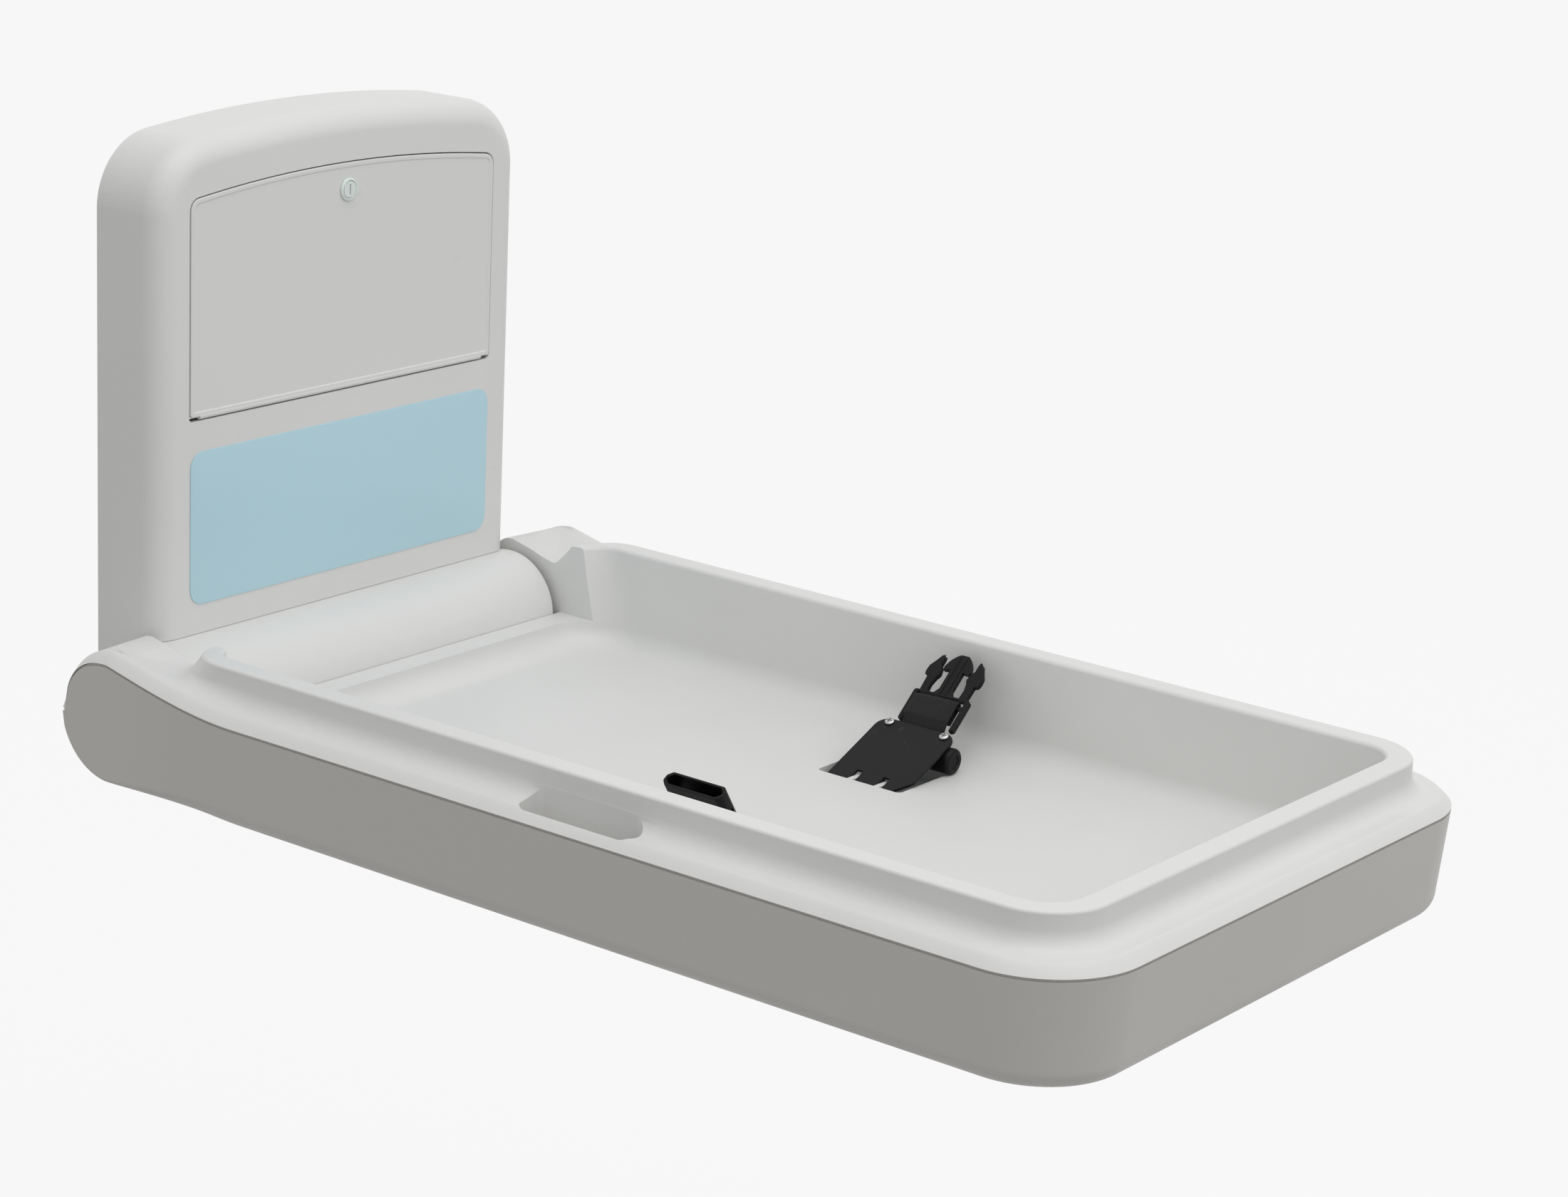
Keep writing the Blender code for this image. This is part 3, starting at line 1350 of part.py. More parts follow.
def make_cassette():
    """The far strap's plate with its knuckle, pin, screws and reel, swung up from its pocket."""
    near = CASSETTE_OUT - CASSETTE_WIDE / 2
    far = CASSETTE_OUT + CASSETTE_WIDE / 2
    r = CASSETTE_CORNER_R
    edge = CASSETTE_EDGE_ALONG
    tab = KNUCKLE_LONG / 2
    outline = [(edge, near), (edge, CASSETTE_OUT - tab), (0.0, CASSETTE_OUT - tab)]
    outline += [(0.0, CASSETTE_OUT + tab), (edge, CASSETTE_OUT + tab)]
    outline += [(edge, far - CASSETTE_CUT_WIDE), (CASSETTE_CUT_LONG, far)]
    outline += arc((CASSETTE_LONG - r, far - r), r, QUARTER, 0, BACK_STEPS)
    outline += arc((CASSETTE_LONG - r, near + r), r, 0, -QUARTER, BACK_STEPS)
    plate = slab("strap_plate", outline, cassette_point, 0.0, CASSETTE_THICK, DARK_PLASTIC)
    hinge = cassette_hinge()
    half = KNUCKLE_LONG / 2
    knuckle = turned(
        "plate_knuckle",
        [(0, -half), (KNUCKLE_R, -half), (KNUCKLE_R, half), (0, half)],
        hinge,
        (0, 1, 0),
        sides=16,
    )
    join(plate, knuckle)
    bore = PIN_R + RUN_GAP
    span = half + LUG_LONG
    hole = turned(
        "knuckle_bore",
        [(0, -span), (bore, -span), (bore, span), (0, span)],
        hinge,
        (0, 1, 0),
        sides=16,
    )
    cut(plate, hole)
    for i, out in enumerate((SCREW_NEAR_OUT, SCREW_FAR_OUT)):
        top = CASSETTE_THICK + SEAT_GAP
        base = cassette_point(SCREW_ALONG, out, 0.0)
        way = cassette_point(SCREW_ALONG, out, 1.0) - base
        turned(
            f"plate_screw_{i + 1}",
            [
                (0, top),
                (SCREW_HEAD_R, top),
                (SCREW_HEAD_R, top + SCREW_HEAD_RISE / 2),
                (SCREW_HEAD_R * 0.7, top + SCREW_HEAD_RISE),
                (0, top + SCREW_HEAD_RISE),
            ],
            base,
            way,
            SCREW_STEEL,
            20,
        )
    set_origin(plate, hinge)
    pin_half = half + LUG_LONG
    turned(
        "strap_hinge_pin",
        [(0, -pin_half), (PIN_R, -pin_half), (PIN_R, pin_half), (0, pin_half)],
        hinge,
        (0, 1, 0),
        STEEL,
        16,
    )
    reel_half = REEL_LONG / 2
    soft = REEL_R / 4
    turned(
        "strap_reel",
        [
            (0, -reel_half),
            (REEL_R - soft, -reel_half),
            (REEL_R, -reel_half + soft),
            (REEL_R, reel_half - soft),
            (REEL_R - soft, reel_half),
            (0, reel_half),
        ],
        cassette_point(REEL_ALONG, REEL_OUT, -REEL_R - SEAT_GAP),
        (0, 1, 0),
        DARK_PLASTIC,
    )


def cassette_hinge():
    return to_world(CASSETTE_HINGE_X, CASSETTE_OUT, -FLOOR_BELOW - KNUCKLE_R * 0.6)


def ribbon_outline(path, thick):
    """A closed outline of even thickness round an open path in a plane."""
    left = []
    right = []
    for i, point in enumerate(path):
        ahead = path[min(i + 1, len(path) - 1)]
        behind = path[max(i - 1, 0)]
        way = Vector((ahead[0] - behind[0], ahead[1] - behind[1])).normalized()
        side = Vector((-way.y, way.x)) * thick / 2
        left.append((point[0] + side.x, point[1] + side.y))
        right.append((point[0] - side.x, point[1] - side.y))
    return left + right[::-1]


def buckle_point(along, across, off=0.0):
    """A point on the male buckle: along it, across it, and off its middle plane."""
    run = along * math.cos(BUCKLE_TURN) - across * math.sin(BUCKLE_TURN)
    out = BUCKLE_OUT + across * math.cos(BUCKLE_TURN) + along * math.sin(BUCKLE_TURN)
    x = BUCKLE_X + run * math.cos(BUCKLE_TILT) - off * math.sin(BUCKLE_TILT)
    z = run * math.sin(BUCKLE_TILT) + off * math.cos(BUCKLE_TILT) - BUCKLE_BELOW
    return to_world(x, out, z)


def make_buckle_male():
    """The male half: a frame with a strap bar, a centre guide and two barbed prongs."""
    half = BUCKLE_WIDE / 2
    low = -BUCKLE_THICK / 2
    high = BUCKLE_THICK / 2
    frame_outline = rounded_box((0.0, -half), (BUCKLE_LONG, half), BUCKLE_CORNER_R, 3)
    buckle = slab("buckle_male", frame_outline, buckle_point, low, high, DARK_PLASTIC)
    rim = BUCKLE_RIM
    window_outline = rounded_box((rim, rim - half), (BUCKLE_LONG - rim, half - rim), SEAT_GAP, 2)
    cut(buckle, slab("buckle_window", window_outline, buckle_point, low - rim, high + rim))
    bar_end = BUCKLE_BAR_ALONG + BUCKLE_BAR_WIDE
    bar = [(BUCKLE_BAR_ALONG, rim / 2 - half), (bar_end, rim / 2 - half)]
    bar += [(bar_end, half - rim / 2), (BUCKLE_BAR_ALONG, half - rim / 2)]
    bar_half = BUCKLE_BAR_THICK / 2
    join(buckle, slab("buckle_bar", bar, buckle_point, -bar_half, bar_half))
    root = BUCKLE_LONG - rim / 2
    wide = GUIDE_WIDE / 2
    guide = [(root, -wide), (GUIDE_TIP - wide, -wide * 0.9), (GUIDE_TIP, -wide * 0.4)]
    guide += [(a, -c) for a, c in reversed(guide)]
    thin = BUCKLE_THICK * 0.4
    join(buckle, slab("buckle_guide", guide, buckle_point, -thin, thin))
    for side in (-1, 1):
        inner = PRONG_OUT - PRONG_WIDE
        prong = [
            (root, side * inner),
            (root, side * PRONG_OUT),
            (BARB_START, side * (PRONG_OUT - PRONG_WIDE / 3)),
            (BARB_START, side * (PRONG_OUT + BARB_WIDE)),
            (BARB_START + PRONG_WIDE, side * (PRONG_OUT + BARB_WIDE)),
            (PRONG_TIP, side * (PRONG_OUT - PRONG_WIDE / 3)),
            (PRONG_TIP, side * (inner + PRONG_WIDE / 3)),
            (BARB_START, side * (inner - PRONG_WIDE / 3)),
        ]
        join(buckle, slab(f"buckle_prong_{side}", prong, buckle_point, -thin, thin))
    set_origin(buckle, cassette_hinge())


def into_buckle(x, height):
    """(along, off) of a point in the buckle's middle section, from its X and height."""
    side = x - BUCKLE_X
    rise = height + BUCKLE_BELOW
    run = side * math.cos(BUCKLE_TILT) + rise * math.sin(BUCKLE_TILT)
    off = rise * math.cos(BUCKLE_TILT) - side * math.sin(BUCKLE_TILT)
    return run / math.cos(BUCKLE_TURN), off


def make_webbing_far():
    """The far strap: up from the reel, over the buckle's frame and back round its bar."""
    reel = cassette_point(REEL_ALONG, 0.0, -REEL_R - SEAT_GAP)
    reel_z = reel.z + SEAM_BELOW_ORIGIN
    clear = 2 * SEAT_GAP + WEB_THICK / 2
    under = -BUCKLE_THICK / 2 - clear
    bar_mid = BUCKLE_BAR_ALONG + BUCKLE_BAR_WIDE / 2
    turn_r = BUCKLE_BAR_THICK / 2 + clear
    bar_end = BUCKLE_BAR_ALONG + BUCKLE_BAR_WIDE + SEAT_GAP
    rise_end = BUCKLE_BAR_ALONG - 2 * turn_r
    rise_start = BUCKLE_RIM + clear
    local = [(BUCKLE_RIM / 2, under), (rise_start, under + SEAT_GAP)]
    local += [(blend(rise_start, rise_end, 0.4), under / 4), (rise_end, turn_r * 0.9)]
    local += [(bar_mid, turn_r), *arc((bar_end, 0.0), turn_r, QUARTER, -QUARTER, 6)]
    local += [(bar_mid, -turn_r), (rise_end, -turn_r)]
    # The strap is turned with its buckle, so it starts clear of the reel by that slant too
    slant = WEB_WIDE / 2 * math.sin(BUCKLE_TURN)
    edge_x = reel.x + REEL_R + clear + slant
    first = buckle_point(local[0][0], 0.0, local[0][1])
    rise = (first.z + SEAM_BELOW_ORIGIN - reel_z) / 3
    lean = (first.x - edge_x) / 3
    foot = [into_buckle(edge_x, reel_z), into_buckle(edge_x, reel_z + rise)]
    foot.append(into_buckle(edge_x + lean, reel_z + 2 * rise))

    def place(along, off, across):
        return buckle_point(along, across, off)

    outline = ribbon_outline(foot + local, WEB_THICK)
    half = WEB_WIDE / 2
    strap = slab("webbing_far", outline, place, -half, half, WEB_BLACK)
    set_origin(strap, cassette_hinge())


def socket_point(along, across, off=0.0):
    """A point on the female buckle, which stands leaning up out of the near pocket."""
    x = -SOCKET_X + along * math.cos(SOCKET_LEAN) + off * math.sin(SOCKET_LEAN)
    z = along * math.sin(SOCKET_LEAN) - off * math.cos(SOCKET_LEAN) - SOCKET_BELOW
    return to_world(x, SOCKET_OUT + across, z)


def make_socket():
    """The female half: a flat six-sided sleeve, open at its mouth and slotted for its strap."""
    half = SOCKET_WIDE / 2
    thick = SOCKET_THICK / 2
    chamfer = SOCKET_CHAMFER

    def section(along, shrink):
        wide = half - shrink
        deep = thick - shrink
        shape = [(wide, -deep + chamfer), (wide, deep - chamfer), (wide - chamfer, deep)]
        shape += [(chamfer - wide, deep), (-wide, deep - chamfer), (-wide, chamfer - deep)]
        shape += [(chamfer - wide, -deep), (wide - chamfer, -deep)]
        return [socket_point(along, across, off) for across, off in shape]

    soft = SOCKET_WALL / 4
    rows = [(0.0, 2 * soft), (2 * soft, 0.0), (SOCKET_LONG - soft, 0.0), (SOCKET_LONG, soft)]
    socket = loft("buckle_female", [section(*row) for row in rows], DARK_PLASTIC)
    start = SOCKET_LONG - SOCKET_MOUTH_DEEP
    mouth = [section(start, SOCKET_WALL), section(SOCKET_LONG + OVERRUN, SOCKET_WALL)]
    cut(socket, loft("socket_mouth", mouth))
    slot_half = WEB_WIDE / 2 + SEAT_GAP
    slot = [(-OVERRUN, -slot_half), (SOCKET_SLOT_DEEP, -slot_half)]
    slot += [(SOCKET_SLOT_DEEP, slot_half), (-OVERRUN, slot_half)]
    deep = WEB_THICK / 2 + SEAT_GAP
    cut(socket, slab("socket_slot", slot, socket_point, -deep, deep))
    window = [(start, -half), (start + SOCKET_MOUTH_DEEP / 2, -half)]
    window += [(start + SOCKET_MOUTH_DEEP / 2, half), (start, half)]
    span = half + OVERRUN
    notch = [(a, math.copysign(span, c)) for a, c in window]
    deep = thick - chamfer - soft
    cut(socket, slab("socket_windows", notch, socket_point, -deep, deep))
    set_origin(socket, anchor_bar())


def anchor_bar():
    """The bar of the near anchor, about which the near strap swings."""
    floor = -FLOOR_BELOW - POCKET_DEEP
    return to_world(-ANCHOR_X, SOCKET_OUT, floor + ANCHOR_BAR_RISE)


def make_near_strap():
    """The near strap: an anchor screwed into its pocket, and webbing round the anchor's bar."""
    floor = -FLOOR_BELOW - POCKET_DEEP + SEAT_GAP
    half = ANCHOR_WIDE / 2
    bar = anchor_bar()
    near = SOCKET_OUT - half
    plate = box(
        "strap_anchor",
        (-ANCHOR_X - ANCHOR_LONG, near, floor),
        (-ANCHOR_X + ANCHOR_LUG_LONG / 2, near + ANCHOR_WIDE, floor + ANCHOR_THICK),
        STEEL,
    )
    top = floor + ANCHOR_BAR_RISE + ANCHOR_BAR_R
    for i, out in enumerate((near, near + ANCHOR_WIDE - ANCHOR_LUG_WIDE)):
        lug = box(
            f"anchor_lug_{i}",
            (-ANCHOR_X - ANCHOR_LUG_LONG / 2, out, floor + SEAT_GAP),
            (-ANCHOR_X + ANCHOR_LUG_LONG / 2, out + ANCHOR_LUG_WIDE, top),
        )
        join(plate, lug)
    reach = half - ANCHOR_LUG_WIDE / 2
    rod = turned(
        "anchor_rod",
        [(0, -reach), (ANCHOR_BAR_R, -reach), (ANCHOR_BAR_R, reach), (0, reach)],
        bar,
        (0, 1, 0),
        sides=16,
    )
    join(plate, rod)
    screw_x = -ANCHOR_X - ANCHOR_LONG * ANCHOR_SCREW_SHARE
    for i, side in enumerate((-1, 1)):
        low = floor + ANCHOR_THICK + SEAT_GAP
        out = SOCKET_OUT + side * ANCHOR_SCREW_SPREAD
        turned(
            f"anchor_screw_{i + 1}",
            [
                (0, 0),
                (SCREW_HEAD_R, 0),
                (SCREW_HEAD_R, SCREW_HEAD_RISE / 2),
                (SCREW_HEAD_R * 0.7, SCREW_HEAD_RISE),
                (0, SCREW_HEAD_RISE),
            ],
            to_world(screw_x, out, low),
            (0, 0, 1),
            SCREW_STEEL,
            20,
        )
    radius = ANCHOR_BAR_R + SEAT_GAP + WEB_THICK / 2
    centre = (bar.x, bar.z + SEAM_BELOW_ORIGIN)
    path = arc(centre, radius, -2 * QUARTER, 0, 6)
    into = socket_point(SOCKET_SLOT_DEEP - OVERRUN, 0.0)
    base = socket_point(-SOCKET_SLOT_DEEP / 2, 0.0)
    base_point = (base.x, base.z + SEAM_BELOW_ORIGIN)
    path.append((blend(path[-1][0], base_point[0], 0.3), blend(path[-1][1], base_point[1], 0.6)))
    path += [base_point, (into.x, into.z + SEAM_BELOW_ORIGIN)]
    outline = ribbon_outline(path, WEB_THICK)
    start = SOCKET_OUT - WEB_WIDE / 2
    strap = prism("webbing_near", outline, start, start + WEB_WIDE, WEB_BLACK, axis="Y")
    set_origin(strap, bar)


def main():
    for stale in list(bpy.data.objects):
        bpy.data.objects.remove(stale)
    make_wall_plate()
    make_housing()
    make_door()
    make_lock()
    make_liner_bin()
    make_label()
    make_barrel()
    make_hinge()
    make_upper_moulding()
    make_lower_shell()
    make_shell_screws()
    make_frame()
    make_cassette()
    make_buckle_male()
    make_webbing_far()
    make_near_strap()
    make_socket()


main()
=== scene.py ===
"""The look of a wall-mounted baby changing station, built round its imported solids.

Lengths are in metres. Heights are measured from the seam between the tray's two mouldings,
and "out" is the distance from the wall, as in the part's own source.
"""

import json
import logging
import math
from collections.abc import Callable, Sequence
from dataclasses import dataclass
from enum import Enum

import bmesh
import bpy
import numpy as np
from mathutils import Matrix, Vector


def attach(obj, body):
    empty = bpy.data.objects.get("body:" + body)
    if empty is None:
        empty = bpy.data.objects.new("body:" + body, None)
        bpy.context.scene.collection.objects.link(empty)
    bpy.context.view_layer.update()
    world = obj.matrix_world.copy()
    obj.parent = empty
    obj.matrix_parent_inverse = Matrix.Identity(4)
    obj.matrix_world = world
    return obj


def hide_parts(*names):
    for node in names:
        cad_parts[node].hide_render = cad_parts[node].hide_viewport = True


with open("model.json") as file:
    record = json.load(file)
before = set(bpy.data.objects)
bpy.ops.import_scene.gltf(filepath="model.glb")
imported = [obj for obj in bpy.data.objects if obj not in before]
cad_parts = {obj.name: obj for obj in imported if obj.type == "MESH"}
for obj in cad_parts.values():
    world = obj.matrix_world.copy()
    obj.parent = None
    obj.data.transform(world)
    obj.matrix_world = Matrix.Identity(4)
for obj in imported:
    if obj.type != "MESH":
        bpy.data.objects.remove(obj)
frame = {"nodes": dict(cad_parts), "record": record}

LOG = logging.getLogger("changing_station")
Points = np.ndarray
Pair = Sequence[float]
Colour = tuple[float, float, float]
Made = bpy.types.Object
Node = bpy.types.Node
Socket = bpy.types.NodeSocket
Height = Callable[[np.ndarray, np.ndarray], np.ndarray]
Place = Callable[[np.ndarray, np.ndarray, np.ndarray], Points]

SEAM_BELOW_ORIGIN = 0.150
QUARTER = math.pi / 2
GAP = 0.0003  # what parts neighbours
OVERRUN = 0.002  # how far a cutter goes past what it cuts
WALL = 0.003
WELD = 0.00001
TINY = 1e-12
ROUND_MIDDLE = 0.3  # where a rounding of three points has its middle one
WHITE = (1.0, 1.0, 1.0, 1.0)
SHARP_EDGE = 35.0  # degrees past which an edge can be rounded
LARGE_FACES = 80  # how far weighted normals lean to the larger faces
MOST_STRETCH = 2.0  # how far an outline's corner is drawn in, in radii


class Body(Enum):
    """The moving bodies of the part."""

    WALL = "wall_unit"
    DOOR = "door"
    LOCK = "lock"
    TRAY = "tray"
    FAR_STRAP = "far_strap"
    NEAR_STRAP = "near_strap"


class Along(Enum):
    """The direction that an outline is pushed in, and so what its two numbers mean."""

    X = "out, height"
    Y = "x, height"
    Z = "x, out"


# Points


def at(x: np.ndarray, out: np.ndarray, height: np.ndarray) -> Points:
    """World points from X, distance from the wall and height over the seam."""
    x, out, height = np.broadcast_arrays(x, out, height)
    return np.stack([x, -out, height - SEAM_BELOW_ORIGIN], axis=-1).astype(float)


def smooth_step(share: np.ndarray) -> np.ndarray:
    """A share from 0 to 1 eased at both ends: 3s^2 - 2s^3."""
    share = np.clip(share, 0.0, 1.0)
    return share * share * (3 - 2 * share)


def mix(first: np.ndarray, second: np.ndarray, share: np.ndarray) -> np.ndarray:
    """The point that lies a share of the way from the first value to the second."""
    return first + (second - first) * share


def shares(steps: int, first: int = 0) -> np.ndarray:
    """Even steps from 0 to 1, both ends included, from the numbered one on."""
    return np.linspace(0, 1, steps + 1)[first:]


def arc(centre: Pair, radius: float, start: float, stop: float, steps: int) -> Points:
    """Rows of two numbers on an arc between two angles, both ends included."""
    turn = np.linspace(start, stop, steps + 1)
    return np.stack([centre[0] + radius * np.cos(turn), centre[1] + radius * np.sin(turn)], axis=1)


def round_rectangle(low: Pair, high: Pair, radius: float, steps: int = 8) -> Points:
    """A rectangle's outline with quarter-circle corners, counter-clockwise."""
    (x0, y0), (x1, y1) = low, high
    places = ((x1 - radius, y1 - radius), (x0 + radius, y1 - radius))
    places += ((x0 + radius, y0 + radius), (x1 - radius, y0 + radius))
    turns = [arc(p, radius, QUARTER * i, QUARTER * (i + 1), steps) for i, p in enumerate(places)]
    return np.concatenate(turns)


def flipped(rows: Points, way: Pair = (1, -1)) -> Points:
    """Rows in reverse order, turned to the other side of an axis."""
    return np.asarray(rows, float)[::-1] * np.array(way)


def both_sides(rows: Points) -> Points:
    """An outline of one side of the first axis, and then of its mirror image."""
    return np.concatenate([np.asarray(rows, float), flipped(rows)])


def unit(rows: Points) -> Points:
    """Rows scaled to length one."""
    return rows / (np.linalg.norm(rows, axis=1, keepdims=True) + TINY)


def run_length(path: Points) -> np.ndarray:
    """How far along a path each of its points lies."""
    return np.concatenate([[0], np.cumsum(np.linalg.norm(np.diff(path, axis=0), axis=1))])


def read(rows: bpy.types.bpy_prop_collection, name: str, wide: int, kind: type) -> np.ndarray:
    """One field of each of a Blender collection's rows, as an array with that many columns."""
    values = np.empty(len(rows) * wide, kind)
    rows.foreach_get(name, values)
    return values.reshape(-1, wide)


# Bodies


def mesh(name: str, points: Points, quads: np.ndarray, caps: Sequence[np.ndarray] = ()) -> Made:
    """A linked object from arrays of points, four-sided faces and flat end faces.

    Args:
        name: the piece's name.
        points: an array of world points.
        quads: rows of four point numbers.
        caps: the point numbers round each end face.

    Returns:
        The object, at the origin.
    """
    data = bpy.data.meshes.new(name)
    loops = np.concatenate([quads.ravel(), *caps]).astype(np.int32)
    sizes = np.concatenate([np.full(len(quads), 4), [len(cap) for cap in caps]])
    starts = (np.cumsum(sizes) - sizes).astype(np.int32)
    data.vertices.add(len(points))
    data.vertices.foreach_set("co", np.ascontiguousarray(points, np.float32).ravel())
    data.loops.add(len(loops))
    data.loops.foreach_set("vertex_index", loops)
    data.polygons.add(len(starts))
    data.polygons.foreach_set("loop_start", starts)
    data.update(calc_edges=True)
    data.validate()
    made = bpy.data.objects.new(name, data)
    bpy.context.scene.collection.objects.link(made)
    return made


def face_out(made: Made) -> Made:
    """Turns a closed mesh's faces outwards, by the sign of its volume."""
    data = made.data
    data.calc_loop_triangles()
    faces = read(data.loop_triangles, "vertices", 3, np.int32)
    corners = read(data.vertices, "co", 3, float)[faces]
    corners = corners - corners.reshape(-1, 3).mean(axis=0)
    if np.linalg.det(corners).sum() < 0:
        data.flip_normals()
    return made


def loft(name: str, rings: Points, closed_path: bool = False) -> Made:
    """A closed body: quads between neighbouring rings, and a flat face on each end ring.

    Args:
        name: the piece's name.
        rings: an array of rings, of points, of three numbers.
        closed_path: whether the last ring joins the first, in place of the flat faces.

    Returns:
        The object, with its faces pointing out.
    """
    rings = np.asarray(rings, float)
    rows, cols = rings.shape[:2]
    ring = np.arange(cols)
    i, j = np.meshgrid(np.arange(rows if closed_path else rows - 1), ring, indexing="ij")
    near, far, k = i * cols, (i + 1) % rows * cols, (j + 1) % cols
    quads = np.stack([near + j, near + k, far + k, far + j], axis=-1).reshape(-1, 4)
    caps = () if closed_path else (ring[::-1], (rows - 1) * cols + ring)
    return face_out(mesh(name, rings.reshape(-1, 3), quads, caps))


def prism(name: str, outline: Points, start: float, stop: float, along: Along = Along.X) -> Made:
    """A closed prism.

    Args:
        name: the piece's name.
        outline: rows of the two numbers that the direction names.
        start: where it starts along the direction.
        stop: where it ends.
        along: the direction.

    Returns:
        The object.
    """
    a, b = np.asarray(outline, float).T
    order = {Along.X: (2, 0, 1), Along.Y: (0, 2, 1), Along.Z: (0, 1, 2)}[along]
    return loft(name, [at(*((a, b, t)[i] for i in order)) for t in (start, stop)])


def box(name: str, low: Sequence[float], high: Sequence[float]) -> Made:
    """A box between two corners given as (x, out, height)."""
    outline = [(low[0], low[1]), (high[0], low[1]), (high[0], high[1]), (low[0], high[1])]
    return prism(name, outline, low[2], high[2], Along.Z)


def spun(name: str, profile: Points, place: Place, sides: int = 40, hollow: bool = False) -> Made:
    """A profile spun in the plane that a placing function sets.

    Args:
        name: the piece's name.
        profile: rows of radius and height over the plane.
        place: puts (first, second, height) into the world.
        sides: how many points go round.
        hollow: whether the profile is a loop round a bore.

    Returns:
        The closed body.
    """
    turn = np.linspace(0, 2 * math.pi, sides, endpoint=False)
    rows = [place(r * np.cos(turn), r * np.sin(turn), np.full(sides, h)) for r, h in profile]
    return loft(name, rows, hollow)


def turned(
    name: str, profile: Points, centre: Pair, way: Pair, sides: int = 48, hollow: bool = False
) -> Made:
    """A profile of (radius, along) spun about the line through a world point."""
    lean = np.array(Vector((0, 0, 1)).rotation_difference(Vector(way)).to_matrix())

    def place(a: np.ndarray, b: np.ndarray, along: np.ndarray) -> Points:
        return np.stack([a, b, along], axis=-1) @ lean.T + np.array(centre)

    return spun(name, profile, place, sides, hollow)


def rod(name: str, radius: float, half: float, centre: Pair, way: Pair, sides: int = 48) -> Made:
    """A round rod whose middle lies at a world point."""
    return turned(name, [(radius, -half), (radius, half)], centre, way, sides)


def slab(
    name: str, outline: Points, place: Place, low: float, high: float, soft: float = 0.0
) -> Made:
    """An outline given a thickness, with its two faces' edges rounded in four steps.

    The rounding draws the outline in along its own corner normals by 1 - sin, while the
    thickness grows by 1 - cos.

    Args:
        name: the piece's name.
        outline: rows of two numbers, counter-clockwise.
        place: puts (first, second, thickness) into the world.
        low: the lower face.
        high: the upper face.
        soft: the edges' radius.

    Returns:
        The closed body.
    """
    outline = np.asarray(outline, float)
    ahead = unit(np.roll(outline, -1, axis=0) - outline)
    way = unit(ahead + unit(outline - np.roll(outline, 1, axis=0)))
    inward = np.stack([-way[:, 1], way[:, 0]], axis=1)
    stretch = 1 / np.maximum((way * ahead).sum(axis=1, keepdims=True), 1 / MOST_STRETCH)
    turns = np.linspace(0, QUARTER, 5) if soft else np.array([QUARTER])
    lows = [(soft * (1 - math.sin(t)), low + soft * (1 - math.cos(t))) for t in turns]
    rings = []
    for shift, height in lows + [(s, low + high - h) for s, h in reversed(lows)]:
        spots = outline + inward * stretch * shift
        rings.append(place(spots[:, 0], spots[:, 1], np.full(len(spots), height)))
    return loft(name, rings)


def apply(made: Made) -> Made:
    """Replaces an object's mesh by what its modifiers make of it."""
    graph = bpy.context.evaluated_depsgraph_get()
    graph.update()
    data = bpy.data.meshes.new_from_object(made.evaluated_get(graph))
    old = made.data
    made.modifiers.clear()
    made.data = data
    data.name = made.name
    bpy.data.meshes.remove(old)
    return made


def boolean(target: Made, other: Made, operation: str) -> Made:
    """Changes the target by another body, which is then removed, and welds the outcome.

    Args:
        target: the body that stays.
        other: the helper body.
        operation: DIFFERENCE, UNION or INTERSECT.

    Returns:
        The target.
    """
    step = target.modifiers.new("cut", "BOOLEAN")
    step.operation = operation
    step.solver = "EXACT"
    step.object = other
    target.modifiers.new("weld", "WELD").merge_threshold = WELD
    apply(target)
    bpy.data.meshes.remove(other.data)
    return target


def cut(target: Made, other: Made) -> Made:
    """Takes the other body away from the target."""
    return boolean(target, other, "DIFFERENCE")


def join(target: Made, other: Made) -> Made:
    """Adds the other body to the target."""
    return boolean(target, other, "UNION")


def mark_sharp(data: bpy.types.Mesh, crease: float) -> None:
    """Shades a mesh smooth, apart from edges past an angle in degrees."""
    data.shade_smooth()
    data.set_sharp_from_angle(angle=math.radians(crease))


def soften(
    made: Made, near: Callable[[Points], np.ndarray], width: float, steps: int = 3
) -> Made:
    """Rounds the sharp edges whose two ends both pass a test.

    Args:
        made: the piece.
        near: whether each of an array of points counts.
        width: the rounding's width.
        steps: how many facets it has.

    Returns:
        The piece, rounded.
    """
    data = made.data
    ends = read(data.edges, "vertices", 2, np.int32)
    picked = near(read(data.vertices, "co", 3, float))[ends].all(axis=1)
    mark_sharp(data, SHARP_EDGE)
    sharp = np.zeros(len(data.edges), bool)
    if "sharp_edge" in data.attributes:
        data.attributes["sharp_edge"].data.foreach_get("value", sharp)
    weights = data.attributes.new("bevel_weight_edge", "FLOAT", "EDGE")
    weights.data.foreach_set("value", (picked & sharp).astype(np.float32))
    step = made.modifiers.new("soften", "BEVEL")
    step.limit_method = "WEIGHT"
    step.width = width
    step.segments = steps
    apply(made)
    for name in ("bevel_weight_edge", "sharp_edge"):
        if name in made.data.attributes:
            made.data.attributes.remove(made.data.attributes[name])
    return made


def close_holes(made: Made) -> Made:
    """Closes the three-sided holes that a cut can leave in a fine net."""
    net = bmesh.new()
    net.from_mesh(made.data)
    for face in bmesh.ops.holes_fill(net, edges=net.edges[:], sides=3)["faces"]:
        face.smooth = True
    net.to_mesh(made.data)
    net.free()
    return made


# Finishes


